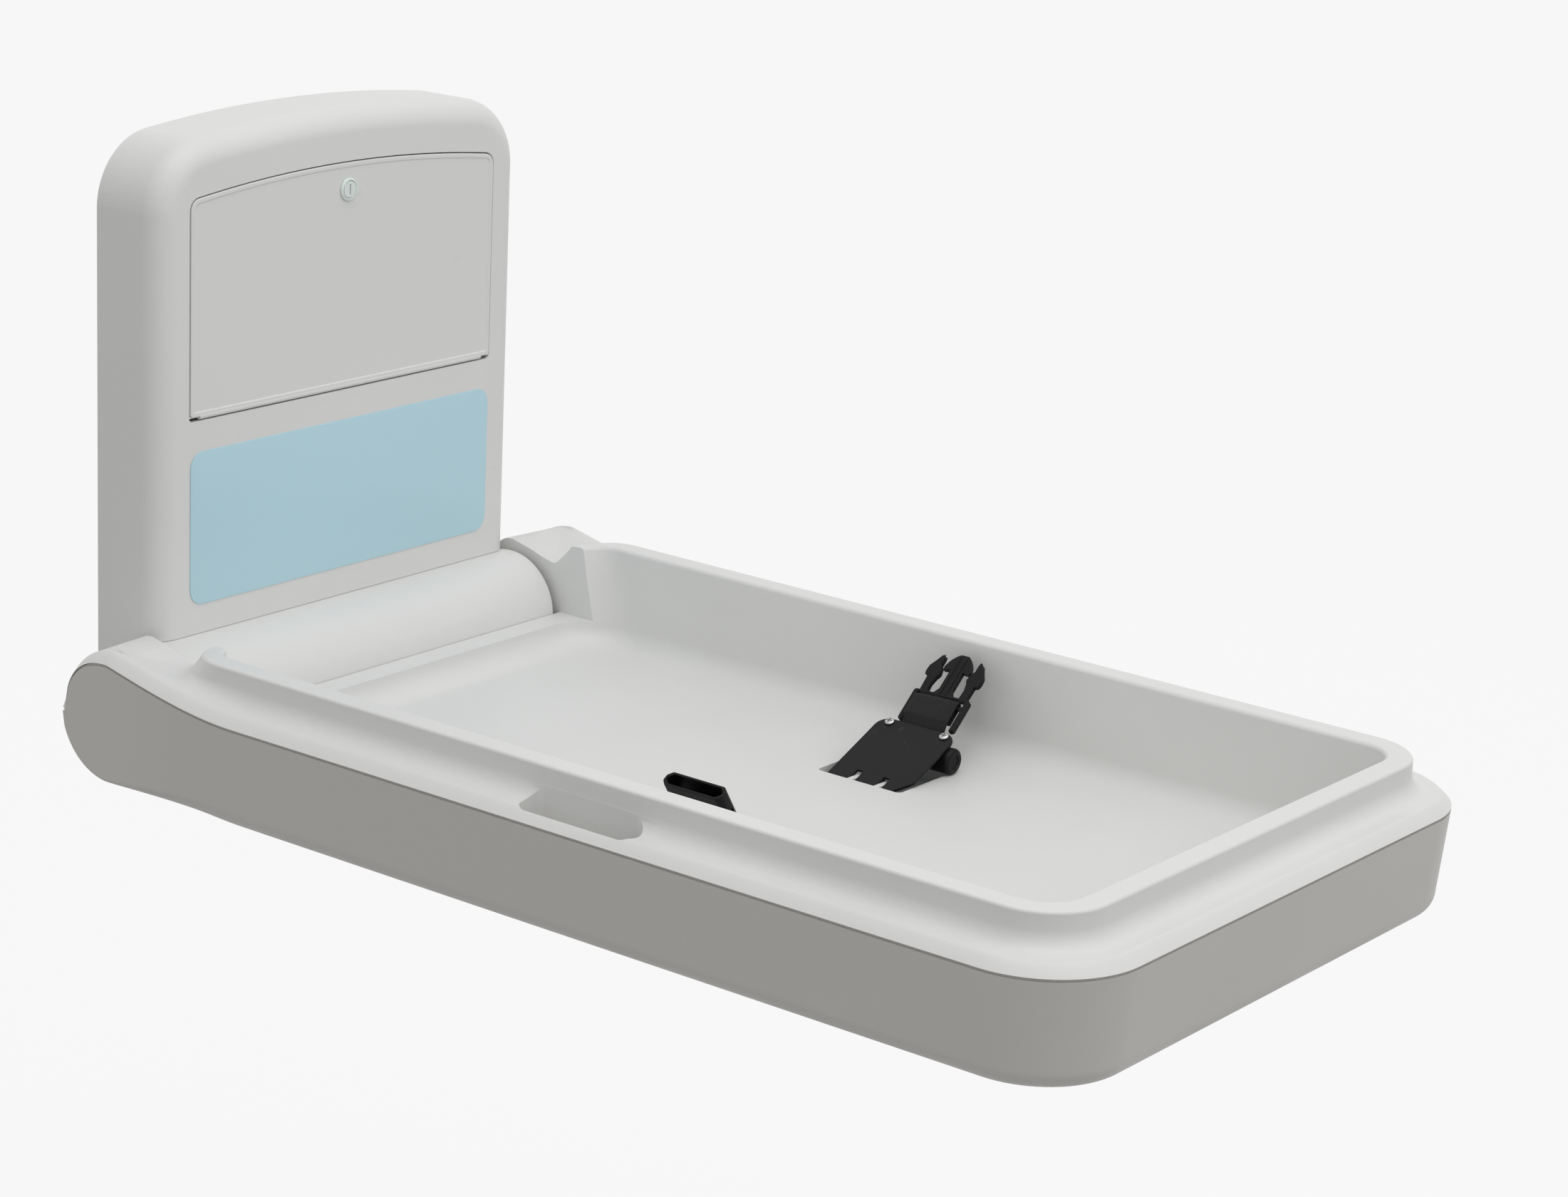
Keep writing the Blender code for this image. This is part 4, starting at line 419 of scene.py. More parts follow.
class Wiring:
    """A thin wrapper that adds and links the nodes of one tree."""

    def __init__(self, tree: bpy.types.NodeTree) -> None:
        """Keeps the tree."""
        self.tree = tree

    def put(self, node: Node, inputs: dict) -> Node:
        """Sets a node's inputs by name or number, and links those that come from sockets."""
        for key, value in inputs.items():
            if isinstance(value, Socket):
                self.tree.links.new(value, node.inputs[key])
            else:
                node.inputs[key].default_value = value
        return node

    def add(self, kind: str, inputs: dict | None = None, **settings: object) -> Node:
        """Adds a node of a kind, with its own fields and its inputs."""
        node = self.tree.nodes.new(kind)
        for key, value in settings.items():
            setattr(node, key, value)
        return self.put(node, inputs or {})

    def math(self, operation: str, first: object, second: object = 0.0) -> Socket:
        """The result of a math node on two values or sockets."""
        return self.add("ShaderNodeMath", {0: first, 1: second}, operation=operation).outputs[0]

    def wave(self, value: Socket) -> Socket:
        """The size of a sine that is zero at every whole number."""
        return self.math("ABSOLUTE", self.math("SINE", self.math("MULTIPLY", value, math.pi)))

    def noise(self, place: Socket, scale: object, detail: float, **settings: float) -> Socket:
        """A noise texture's value."""
        inputs = {"Vector": place, "Scale": scale, "Detail": detail, **settings}
        return self.add("ShaderNodeTexNoise", inputs).outputs["Fac"]

    def ramp(self, value: Socket, span: Pair, result: Pair) -> Socket:
        """A value mapped smoothly from one span to another and clamped."""
        names = ("From Min", "From Max", "To Min", "To Max")
        inputs = {"Value": value, **dict(zip(names, (*span, *result)))}
        node = self.add("ShaderNodeMapRange", inputs, interpolation_type="SMOOTHSTEP")
        return node.outputs["Result"]

    def blend(self, share: Socket, first: Socket | Colour, second: Socket | Colour) -> Socket:
        """Two colours mixed by a share."""
        ends = [v if isinstance(v, Socket) else (*v, 1.0) for v in (first, second)]
        inputs = {"Factor": share, 6: ends[0], 7: ends[1]}
        return self.add("ShaderNodeMix", inputs, data_type="RGBA").outputs[2]

    def seen(self) -> Socket:
        """One for rays from the camera and from shiny faces, and else zero."""
        rays = self.add("ShaderNodeLightPath").outputs
        return self.math("MAXIMUM", rays["Is Camera Ray"], rays["Is Glossy Ray"])

    def surface(self, tone: Socket, rough: Socket, height: Socket, relief: float) -> None:
        """Gives the tree's shader a colour, a roughness and a relief of that height."""
        bump = self.add("ShaderNodeBump", {"Strength": 1.0, "Distance": relief, "Height": height})
        inputs = {"Base Color": tone, "Roughness": rough, "Normal": bump.outputs["Normal"]}
        self.put(self.tree.nodes["Principled BSDF"], inputs)


class Effects:
    """The node groups that the finishes share, each built once."""

    def __init__(self) -> None:
        """Builds every group."""
        self.grain = self.mould_grain()
        self.marks = self.handling_marks()
        self.weave = self.webbing_weave()

    @staticmethod
    def group(name: str, inputs: dict, outputs: Sequence[str]) -> tuple[Wiring, dict, Node]:
        """A new empty group.

        Args:
            name: its name.
            inputs: the starting value of each number, and None for a vector.
            outputs: the names of the numbers that it gives.

        Returns:
            The group's wiring, its input sockets by name and its output node.
        """
        tree = bpy.data.node_groups.new(name, "ShaderNodeTree")
        for key, value in inputs.items():
            kind = "NodeSocketVector" if value is None else "NodeSocketFloat"
            made = tree.interface.new_socket(key, in_out="INPUT", socket_type=kind)
            if value is not None:
                made.default_value = value
        for key in outputs:
            tree.interface.new_socket(key, in_out="OUTPUT", socket_type="NodeSocketFloat")
        wiring = Wiring(tree)
        return wiring, wiring.add("NodeGroupInput").outputs, wiring.add("NodeGroupOutput")

    def mould_grain(self) -> bpy.types.NodeTree:
        """The fine spark-eroded grain of moulded plastic.

        A noise and half of a cell pattern are added for the height. A noise that is over a
        hundred times coarser gives the slow mottle in tone.

        Returns:
            The group.
        """
        wiring, given, end = self.group(
            "mould_grain", {"Place": None, "Scale": 900.0}, ("Height", "Mottle")
        )
        place, scale = given["Place"], given["Scale"]
        fine = wiring.noise(place, scale, 2.0)
        inputs = {"Vector": place, "Scale": wiring.math("MULTIPLY", scale, 0.6)}
        cells = wiring.add("ShaderNodeTexVoronoi", inputs, feature="SMOOTH_F1")
        slow = wiring.noise(place, 9.0, 3.0)
        half = wiring.math("MULTIPLY", cells.outputs["Distance"], 0.5)
        wiring.put(end, {"Height": wiring.math("ADD", fine, half), "Mottle": slow})
        return wiring.tree

    def handling_marks(self) -> bpy.types.NodeTree:
        """Faint rubbed specks and short scuffs, as a mask.

        Stretched noise gives the scuffs, and a coarse noise keeps them to patches.

        Returns:
            The group.
        """
        wiring, given, end = self.group(
            "handling_marks", {"Place": None, "Amount": 0.5}, ("Mask",)
        )
        place = given["Place"]
        inputs = {"Vector": place, "Scale": (40.0, 160.0, 90.0), "Rotation": (0.3, 0.2, 0.7)}
        stretch = wiring.add("ShaderNodeMapping", inputs).outputs[0]
        scuff = wiring.ramp(wiring.noise(stretch, 1.0, 6.0, Roughness=0.7), (0.60, 0.72), (0, 1))
        patch = wiring.ramp(wiring.noise(place, 7.0, 2.0), (0.48, 0.66), (0, 1))
        mask = wiring.math("MULTIPLY", scuff, patch)
        wiring.put(end, {"Mask": wiring.math("MULTIPLY", mask, given["Amount"])})
        return wiring.tree

    def webbing_weave(self) -> bpy.types.NodeTree:
        """A narrow ribbed weave from UV: across in U and along in V, both in picks.

        Ribs run along the strap as a sine over U, broken by a shifted sine over V.

        Returns:
            The group.
        """
        wiring, given, end = self.group(
            "webbing_weave", {"UV": None, "Ribs": 30.0, "Picks": 700.0}, ("Height",)
        )
        parts = wiring.add("ShaderNodeSeparateXYZ", {0: given["UV"]}).outputs
        across = wiring.math("MULTIPLY", parts[0], given["Ribs"])
        along = wiring.math("MULTIPLY", parts[1], given["Picks"])
        row = wiring.math("MULTIPLY", wiring.math("FLOOR", across), 0.5)
        pick = wiring.math("MULTIPLY", wiring.wave(wiring.math("ADD", along, row)), 0.6)
        height = wiring.math("MULTIPLY", wiring.wave(across), wiring.math("ADD", pick, 0.4))
        wiring.put(end, {"Height": height})
        return wiring.tree


@dataclass(frozen=True)
class Finish:
    """What every finish has.

    Attributes:
        name: the material's name.
        colour: its base colour, linear.
        roughness: its mean roughness.
    """

    name: str
    colour: Colour
    roughness: float

    def shade(self, share: float) -> Colour:
        """A share of the base colour, at most white."""
        return tuple(min(c * share, 1.0) for c in self.colour)

    def start(self, **constants: float) -> tuple[bpy.types.Material, Wiring]:
        """A new Principled material with constants on its shader, and its wiring."""
        made = bpy.data.materials.new(self.name)
        made.use_nodes = True
        made.diffuse_color = (*self.colour, 1.0)
        wiring = Wiring(made.node_tree)
        inputs = {name.replace("_", " "): value for name, value in constants.items()}
        wiring.put(made.node_tree.nodes["Principled BSDF"], inputs)
        return made, wiring


@dataclass(frozen=True)
class MouldedPlastic(Finish):
    """A moulded plastic with a fine grain.

    Attributes:
        grain_scale: grains per metre.
        relief: the grain's height.
        mottle: how far the tone wanders.
        marks: how strong the handling marks are.
        mark_colour: what the marks tend to.
        specular: the surface's reflection level.
        tint: how much of a mark shows in the tone.
        polish: how much smoother a mark is.
        most_spread: the most that the roughness wanders.
    """

    grain_scale: float = 900.0
    relief: float = 0.00004
    mottle: float = 0.03
    marks: float = 0.25
    mark_colour: Colour = (0.45, 0.44, 0.42)
    specular: float = 0.4
    tint: float = 0.35
    polish: float = 0.12
    most_spread: float = 0.05

    def build(self, effects: Effects) -> bpy.types.Material:
        """A material whose colour, roughness and normal vary over the surface."""
        made, wiring = self.start(Specular_IOR_Level=self.specular)
        place = wiring.add("ShaderNodeTexCoord").outputs["Object"]
        inputs = {"Place": place, "Scale": self.grain_scale}
        grain = wiring.add("ShaderNodeGroup", inputs, node_tree=effects.grain).outputs
        inputs = {"Place": place, "Amount": self.marks}
        marks = wiring.add("ShaderNodeGroup", inputs, node_tree=effects.marks).outputs["Mask"]
        dark, light = self.shade(1 - self.mottle), self.shade(1 + self.mottle)
        tone = wiring.blend(grain["Mottle"], dark, light)
        tone = wiring.blend(wiring.math("MULTIPLY", marks, self.tint), tone, self.mark_colour)
        spread = min(self.most_spread, 2 * self.mottle)
        ends = (self.roughness - spread, self.roughness + spread)
        rough = wiring.ramp(grain["Mottle"], (0.3, 0.7), ends)
        rough = wiring.math("SUBTRACT", rough, wiring.math("MULTIPLY", marks, self.polish))
        wiring.surface(tone, rough, grain["Height"], self.relief)
        return made


@dataclass(frozen=True)
class PlatedSteel(Finish):
    """Zinc-plated or bright steel with a faint directional brushing.

    Attributes:
        stretch: how many times finer the brushing is across than along.
        lines: the brushing's size, in waves per metre along it.
        spangles: the zinc's flakes per metre.
        flake: the darker flakes' share of the colour.
        spread: how far the roughness wanders.
        relief: the brushing's height.
    """

    stretch: float = 12.0
    lines: float = 60.0
    spangles: float = 260.0
    flake: float = 0.86
    spread: float = 0.08
    relief: float = 0.00002

    def build(self, effects: Effects) -> bpy.types.Material:
        """A metallic material, which needs none of the shared effects."""
        made, wiring = self.start(Metallic=1.0)
        place = wiring.add("ShaderNodeTexCoord").outputs["Object"]
        scale = (self.lines, self.lines * self.stretch, self.lines * self.stretch)
        mapped = wiring.add("ShaderNodeMapping", {"Vector": place, "Scale": scale}).outputs[0]
        lines = wiring.noise(mapped, 1.0, 4.0)
        spangle = wiring.add("ShaderNodeTexVoronoi", {"Vector": place, "Scale": self.spangles})
        tone = wiring.blend(spangle.outputs["Distance"], self.colour, self.shade(self.flake))
        ends = (self.roughness - self.spread, self.roughness + self.spread)
        wiring.surface(tone, wiring.ramp(lines, (0.3, 0.7), ends), lines, self.relief)
        return made


@dataclass(frozen=True)
class Webbing(Finish):
    """Woven strap webbing.

    Attributes:
        relief: the weave's height.
        hollow: the weave's hollows, as a share of the colour: painted shade.
        ridge: the same for its ridges: a painted highlight.
        worn: how much smoother its ridges are.
    """

    relief: float = 0.0005
    hollow: float = 0.5
    ridge: float = 1.9
    worn: float = 0.15

    def build(self, effects: Effects) -> bpy.types.Material:
        """A cloth-like material that follows the strap's UV map."""
        made, wiring = self.start(Specular_IOR_Level=0.2, Sheen_Weight=0.06, Sheen_Roughness=0.5)
        uv = wiring.add("ShaderNodeTexCoord").outputs["UV"]
        group = wiring.add("ShaderNodeGroup", {"UV": uv}, node_tree=effects.weave)
        weave = group.outputs["Height"]
        # painted shade in the weave's hollows and a painted highlight on its ridges
        tone = wiring.blend(weave, self.shade(self.hollow), self.shade(self.ridge))
        rough = wiring.ramp(weave, (0.0, 1.0), (self.roughness, self.roughness - self.worn))
        wiring.surface(tone, rough, weave, self.relief)
        return made


class Palette:
    """Every finish of the part, by the record's material slots."""

    FINISHES: tuple[Finish, ...] = (
        MouldedPlastic("shell_plastic", (0.75, 0.748, 0.735), 0.42),
        # the shell plastic darkened for the lower shell: painted shade for a moulding that faces
        # down and away from the lights
        MouldedPlastic("shaded_lower_plastic", (0.59, 0.575, 0.55), 0.45),
        MouldedPlastic("door_plastic", (0.745, 0.75, 0.735), 0.38, 1400.0, 0.00002, 0.02),
        MouldedPlastic("label_film", (0.50, 0.73, 0.82), 0.30, 2200.0, 0.000006, 0.01, 0.0),
        MouldedPlastic("lock_plastic", (0.75, 0.82, 0.79), 0.25, 2000.0, 0.00001, 0.02),
        MouldedPlastic(
            "black_plastic",
            (0.008, 0.008, 0.0085),
            0.42,
            grain_scale=1800.0,
            relief=0.00003,
            mottle=0.15,
            marks=0.6,
            mark_colour=(0.12, 0.12, 0.12),
            specular=0.14,
        ),
        MouldedPlastic("bush_nylon", (0.70, 0.68, 0.62), 0.5),
        PlatedSteel("zinc_steel", (0.62, 0.63, 0.65), 0.38),
        PlatedSteel("bright_screw", (0.50, 0.50, 0.49), 0.30, stretch=3.0),
        Webbing("black_webbing", (0.010, 0.010, 0.010), 0.8),
    )

    def __init__(self) -> None:
        """Builds the shared effects and the materials."""
        effects = Effects()
        self.slots = {one.name: one.build(effects) for one in self.FINISHES}

    def dress_solids(self, nodes: dict[str, Made], record: dict) -> None:
        """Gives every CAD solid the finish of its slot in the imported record."""
        for part in record["subparts"]:
            nodes[part["node"]].material_slots[0].material = self.slots[part["material_slot"]]


@dataclass
class Assembly:
    """What makes the pieces of a sub-assembly.

    Attributes:
        palette: the finishes.
    """

    palette: Palette

    def dress(
        self,
        made: Made,
        body: Body,
        slot: str,
        *nodes: str,
        look: str = "",
        crease: float = 30.0,
        weighted: bool = True,
    ) -> None:
        """Gives a new piece its finish, shading, body and the CAD nodes that it replaces.

        Args:
            made: the piece.
            body: the body that it rides on.
            slot: the record's material slot.
            nodes: CAD nodes that it replaces.
            look: the finish, where it isn't the slot's own.
            crease: the angle in degrees past which an edge is sharp.
            weighted: whether normals lean to the larger faces, as beside a cut.
        """
        data = made.data
        data.materials.clear()
        data.materials.append(self.palette.slots[look or slot])
        mark_sharp(data, crease)
        if weighted:
            normals = made.modifiers.new("normals", "WEIGHTED_NORMAL")
            normals.keep_sharp = True
            normals.weight = LARGE_FACES
        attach(made, body.value)
        if nodes:
            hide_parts(*nodes)
        LOG.info("%s: %d faces on %s", made.name, len(data.polygons), body.value)


# The tray


@dataclass(frozen=True)
class HingeForm:
    """The hinge barrel's place and radius, which the tray and the housing share."""

    out: float = 0.066
    below: float = 0.028
    radius: float = 0.045


@dataclass(frozen=True)
class StrapHinge:
    """The far strap's hinge, which the tray's pocket and the strap's plate share."""

    x: float = 0.0905
    out: float = 0.488
    floor_below: float = 0.045
    knuckle_r: float = 0.0042
    knuckle_long: float = 0.018
    lug_long: float = 0.0045
    pin_bore: float = 0.0021


@dataclass(frozen=True)
class TrayForm:
    """The sizes that the tray's two mouldings share, and its outline in plan."""

    half: float = 0.250
    reach: float = 0.8812
    corner_r: float = 0.0684
    groove: float = 0.002
    lip_wide: float = 0.0087
    rim_top: float = 0.032
    bulb_out: float = 0.078
    bulb_below: float = 0.020
    bulb_r: float = 0.047
    seam_curve_r: float = 0.041
    seam_curve_rise: float = 0.0382
    seam_end_below: float = 0.0236
    seam_power: float = 2.3
    run_out: float = 0.200
    even_from: float = 0.036
    even_to: float = 0.074
    floor_fillet: float = 0.018
    cheek_x: float = 0.190
    bulb_steps: int = 22
    arm_steps: int = 22
    far_steps: int = 10
    corner_steps: int = 18
    back_steps: int = 12
    line_steps: int = 5

    def stations(self, first: float, last: float) -> np.ndarray:
        """Places along a long side, from just past one out to just short of another.

        Round the bulb they follow equal angles, out = centre - r cos(angle), and level out to
        equal steps for rings that start past the bulb's middle.

        Args:
            first: where the back corner ends.
            last: where the end corner starts.

        Returns:
            Rising distances from the wall.
        """
        count = self.bulb_steps + self.arm_steps
        share = np.arange(1, count + 1) / count
        split = self.bulb_steps / count
        start = math.acos(np.clip((self.bulb_out - first) / self.bulb_r, 0, 1))
        turn = mix(start, QUARTER, np.clip(share / split, 0, 1))
        rounded = self.bulb_out - self.bulb_r * np.cos(turn)
        rest = mix(self.bulb_out, self.run_out, np.clip((share - split) / (1 - split), 0, 1))
        weight = smooth_step((first - self.even_from) / (self.even_to - self.even_from))
        near = np.where(share <= split, rounded, rest)
        near = mix(near, mix(first, self.run_out, share), weight)
        far = mix(self.run_out, last, np.arange(1, self.far_steps) / self.far_steps)
        return np.concatenate([near, far])

    def plan(self, inset: float, back: float, back_r: float, spread: float = 0.0) -> Points:
        """One ring in plan, from the wall side round the +X side and back.

        Args:
            inset: how far it lies inside the tray's outline.
            back: its distance from the wall.
            back_r: the radius of its corners on the wall side.
            spread: what is added to its outer corners' radius.

        Returns:
            Rows of (x, out).
        """
        half = self.half - inset
        end = self.reach - inset
        end_r = max(self.corner_r - inset + spread, self.floor_fillet)
        line = np.linspace(0, half - back_r, self.line_steps, endpoint=False)
        side = self.stations(back + back_r, end - end_r)
        last = np.linspace(half - end_r, 0, self.line_steps + 1)[1:]
        right = np.concatenate(
            [
                np.stack([line, np.full(len(line), back)], axis=1),
                arc((half - back_r, back + back_r), back_r, -QUARTER, 0, self.back_steps),
                np.stack([np.full(len(side), half), side], axis=1),
                arc((half - end_r, end - end_r), end_r, 0, QUARTER, self.corner_steps),
                np.stack([last, np.full(len(last), end)], axis=1),
            ]
        )
        return np.concatenate([right, flipped(right[1:-1], (-1, 1))])

    def ring(
        self, inset: float, back: float, back_r: float, height: Height, spread: float = 0.0
    ) -> Points:
        """One ring in space, whose height is a function of (distance from the side, out)."""
        x, out = self.plan(inset, back, back_r, spread).T
        return at(x, out, height(self.half - np.abs(x), out))

    def far_share(self, out: np.ndarray) -> np.ndarray:
        """How far a place is from the bulb's middle to the long level run."""
        return (out - self.bulb_out) / (self.run_out - self.bulb_out)

    def seam(self, out: np.ndarray) -> np.ndarray:
        """The seam's height: level on the long side, then a cubic climb over the arm.

        Round the bulb it is a superellipse of the named power, down to its low end.

        Args:
            out: distances from the wall.

        Returns:
            The heights.
        """
        top = self.seam_curve_rise - self.bulb_below
        share = np.clip(self.far_share(out), 0, 1)
        climb = top * (1 - share) ** 2 * (1 + share / 2)
        back = np.clip((self.bulb_out - out) / self.seam_curve_r, 0, 1)
        round_end = self.seam_curve_rise * (1 - back**self.seam_power) ** (1 / self.seam_power)
        low = np.where(back >= 1, -self.seam_end_below, round_end - self.bulb_below)
        return np.where(out >= self.bulb_out, climb, np.maximum(low, -self.seam_end_below))

    def bulb(self, out: np.ndarray, skin: float = 0.0) -> np.ndarray:
        """The upper half of an arm's round end: r sqrt(1 - s^2) over its centre."""
        radius = self.bulb_r - skin
        share = np.clip(np.abs(out - self.bulb_out) / radius, 0, 1)
        return radius * np.sqrt(1 - share * share) - self.bulb_below


def level(height: float) -> Height:
    """A ring's height that is the same all round."""
    return lambda _, out: 0 * out + height


@dataclass
class TrayMoulding(Assembly):
    """The tray's upper moulding: lip, cove ledge, hooked rim, tub, sill and cheeks."""

    form: TrayForm = TrayForm()
    hinge: HingeForm = HingeForm()
    strap: StrapHinge = StrapHinge()
    lip_rise: float = 0.0083
    lip_power: float = 1.25
    lip_steps: int = 10
    ledge_flat: float = 0.0058
    cove_r: float = 0.012
    arm_dip: float = 0.0085
    dip_from: float = 0.055
    dip_to: float = 0.080
    dip_inset: float = 0.045
    back_rise: float = 0.0034
    rise_from: float = 0.036
    rise_run: float = 0.013
    fall_from: float = 0.049
    fall_run: float = 0.017
    hook_start: float = 0.150
    hook_end: float = 0.110
    rim_wide: float = 0.0188
    rim_outer_r: float = 0.0022
    rim_inner_r: float = 0.0030
    rim_draft: float = 0.0003
    rim_spread: float = 0.003
    hook_top: float = 0.0293
    hook_foot_out: float = 0.1105
    hook_slope: float = 0.0095
    hook_r: float = 0.038
    hook_lift: float = 0.0065
    hook_lift_share: float = 0.75
    hook_inner_out: float = 0.1312
    hook_inner_r: float = 0.026
    tub_draft: float = 0.0022
    tub_back_r: float = 0.046
    sill_below: float = 0.025
    sill_out: float = 0.1315
    inner_depth: float = 0.062
    barrel_wall_turn: float = math.radians(42)
    backing_lip: float = 0.7
    backing_arm: float = 1.8
    backing_corner: float = 3.0
    recess_start: float = 0.447
    recess_end: float = 0.543
    recess_outer: float = 0.0062
    recess_inner: float = 0.0262
    recess_below: float = 0.012
    recess_r: float = 0.0095
    pocket_x: float = 0.079
    pocket_long: float = 0.066
    pocket_wide: float = 0.072
    pocket_out: float = 0.484
    pocket_deep: float = 0.012
    pocket_r: float = 0.004
    pocket_soft: float = 0.0008
    cheek_soft: float = 0.0022
    cheek_soft_low: float = 0.004

    def lip_top(self, out: np.ndarray) -> np.ndarray:
        """The height of the lip's inner edge, which meets the bulb's round end."""
        form = self.form
        top = form.bulb(form.bulb_out) - form.seam(form.bulb_out)
        rise = mix(top, self.lip_rise, smooth_step(form.far_share(out)))
        return np.where(out < form.bulb_out, form.bulb(out), form.seam(out) + rise)

    def arm(self, inset: np.ndarray, out: np.ndarray) -> np.ndarray:
        """The arm's top, which dips behind the hook and rises a little over the barrel."""
        lip = self.form.lip_wide
        across = smooth_step((inset - lip) / (self.dip_inset - lip))
        along = smooth_step((out - self.dip_from) / (self.dip_to - self.dip_from))
        rise = smooth_step((out - self.rise_from) / self.rise_run)
        rise = rise * (1 - smooth_step((out - self.fall_from) / self.fall_run))
        return self.lip_top(out) - (self.arm_dip * along - self.back_rise * rise) * across

    def hook(self, out: np.ndarray) -> np.ndarray:
        """How far a place is into the hook, from 0 on the long rim to 1."""
        return smooth_step((self.hook_start - out) / (self.hook_start - self.hook_end))

    def by_hook(self, side: Height, arm: Height) -> Height:
        """A height that goes over from the long side's to the arm's."""
        return lambda inset, out: mix(side(inset, out), arm(inset, out), self.hook(out))

    def bulb_limit(self, out: np.ndarray, skin: float) -> np.ndarray:
        """What the arm stays under behind the bulb's middle."""
        limit = self.form.bulb(out, skin) + self.back_rise
        return np.where(out >= self.form.bulb_out, self.form.rim_top, limit)

    def lip_rings(self, skin: float) -> list[Points]:
        """The rings from the open underside up the outer wall and over the lip.

        The lip rises as 1 - (1 - s)^p of its width.

        Args:
            skin: how far under the outside the solid ends.

        Returns:
            The rings.
        """
        form = self.form
        foot = form.groove / 2
        tube = form.bulb_out - form.bulb_r
        turn = tube - GAP + form.lip_wide / 2
        if skin:
            inset, back = skin, tube + GAP / 3
            bottom, over = -self.inner_depth - OVERRUN, foot + GAP / 2
        else:
            inset, back = WALL + GAP, tube + GAP
            bottom, over = -self.inner_depth, foot
        made = [
            form.ring(inset, back, turn - back, level(bottom)),
            form.ring(inset, back, turn - back, lambda _, out: form.seam(out) + over),
        ]
        for share in shares(2 if skin else self.lip_steps):
            inset = mix(skin and skin + GAP, form.lip_wide, share)
            rise = 1 - (1 - max(inset / form.lip_wide, 0)) ** self.lip_power
            drop = skin * (1 if share == 1 else self.backing_lip)

            def lip(_: np.ndarray, out: np.ndarray) -> np.ndarray:
                low = form.seam(out) + foot
                return mix(low, np.maximum(self.lip_top(out), low), rise) - drop

            back = tube + skin + GAP * (share - 1)
            made.append(form.ring(inset, back, turn - back, lip))
        return made

    def ledge_rings(self, skin: float, steps: int) -> list[Points]:
        """The rings of the flat ledge and of the cove, a quarter circle, up to the rim.

        Args:
            skin: how far under the outside the solid ends.
            steps: how finely each is divided.

        Returns:
            The rings.
        """
        form = self.form
        lip = form.lip_wide

        def flat(_: np.ndarray, out: np.ndarray) -> np.ndarray:
            return self.lip_top(out) - skin

        def arm_top(inset: np.ndarray, out: np.ndarray) -> np.ndarray:
            top = self.arm(inset, out) - self.backing_arm * skin
            return np.minimum(top, self.bulb_limit(out, skin))

        made = []
        for share in shares(steps, 1):
            back = form.bulb_out - (form.bulb_r - skin) * math.cos(QUARTER * share)
            height = self.by_hook(flat, arm_top)
            made.append(form.ring(lip + self.ledge_flat * share, back, lip, height))
        for share in shares(steps, 1):
            angle = QUARTER * share
            rise = 1 - math.cos(angle)
            bend = max(share - self.hook_lift_share, 0) / (1 - self.hook_lift_share)
            lift = 0 if skin else self.hook_lift * bend * bend

            def cove(_: np.ndarray, out: np.ndarray) -> np.ndarray:
                low = self.lip_top(out)
                top = np.maximum(self.lip_rise + self.cove_r, low)
                return mix(low, top, rise) - skin * (1 - rise)

            def valley(inset: np.ndarray, out: np.ndarray) -> np.ndarray:
                return self.arm(inset, out) - skin * (1 - rise / 2) + lift

            inset = lip + self.ledge_flat + (self.cove_r + skin) * math.sin(angle)
            back = mix(form.bulb_out, self.hook_foot_out, share) + skin * share
            radius = mix(lip, self.hook_r, share)
            height = self.by_hook(cove, valley)
            made.append(form.ring(inset, back, radius, height, self.rim_spread * share))
        return made

    def rim_rings(self, skin: float, steps: int) -> list[Points]:
        """The rings over the rim, down the tub's wall and round the foot of that wall.

        The rim's edges are quarter circles; its back corners close in on the hook's radius
        while its top falls to the hook's.

        Args:
            skin: how far under the outside the solid ends.
            steps: how finely each edge is divided.

        Returns:
            The rings.
        """
        form = self.form
        made = []
        wall_inset = form.lip_wide + self.ledge_flat + self.cove_r

        def add(inset: float, back: float, corner: float, side: float, hook: float) -> None:
            """Adds a ring that is level along the sides and level at the hooks."""
            height = self.by_hook(level(side), level(hook))
            made.append(form.ring(inset, back, corner, height, self.rim_spread))

        top = form.rim_top - skin
        hook_top = self.hook_top - skin
        inset = wall_inset + skin + self.rim_draft
        back = self.hook_foot_out + self.hook_slope + skin
        for angle in QUARTER * shares(steps):
            shift = self.rim_outer_r * (1 - math.cos(angle))
            drop = self.rim_outer_r * (1 - math.sin(angle))
            add(inset + shift, back + shift, self.hook_r, top - drop, hook_top - drop)
        inset = wall_inset + self.rim_wide - skin
        back = self.hook_inner_out - skin
        corner = self.hook_inner_r + skin * self.backing_corner
        for angle in QUARTER * shares(steps):
            shift = self.rim_inner_r * (1 - math.sin(angle))
            drop = self.rim_inner_r * (1 - math.cos(angle))
            add(inset - shift, back - shift, corner, top - drop, hook_top - drop)
        low = form.floor_fillet - self.strap.floor_below
        wall_top = form.rim_top - self.rim_inner_r
        for share in shares(3 * steps // 2, 1):
            back = mix(self.hook_inner_out, self.sill_out, share) - skin
            side = mix(wall_top, low, share)
            hook = min(side, self.hook_top - self.rim_inner_r)
            radius = mix(corner, self.tub_back_r, share)
            add(inset + self.tub_draft * share, back, radius, side, hook)
        sweep = form.floor_fillet + skin
        for angle in QUARTER * shares(2 * steps, 1):
            shift = sweep * (1 - math.cos(angle))
            depth = low - sweep * math.sin(angle)
            back = self.sill_out - skin + shift
            add(inset + self.tub_draft + shift, back, self.tub_back_r, depth, depth)
        return made

    def rings(self, skin: float) -> Points:
        """Rings of a solid that ends at the outside (skin 0) or at the underside (a wall in).

        Every ring lies inside the one before it in plan, so the surface can't fold.
        """
        steps = 1 if skin else 3
        made = self.lip_rings(skin) + self.ledge_rings(skin, 4 * steps)
        return np.array(made + self.rim_rings(skin, 2 * steps))

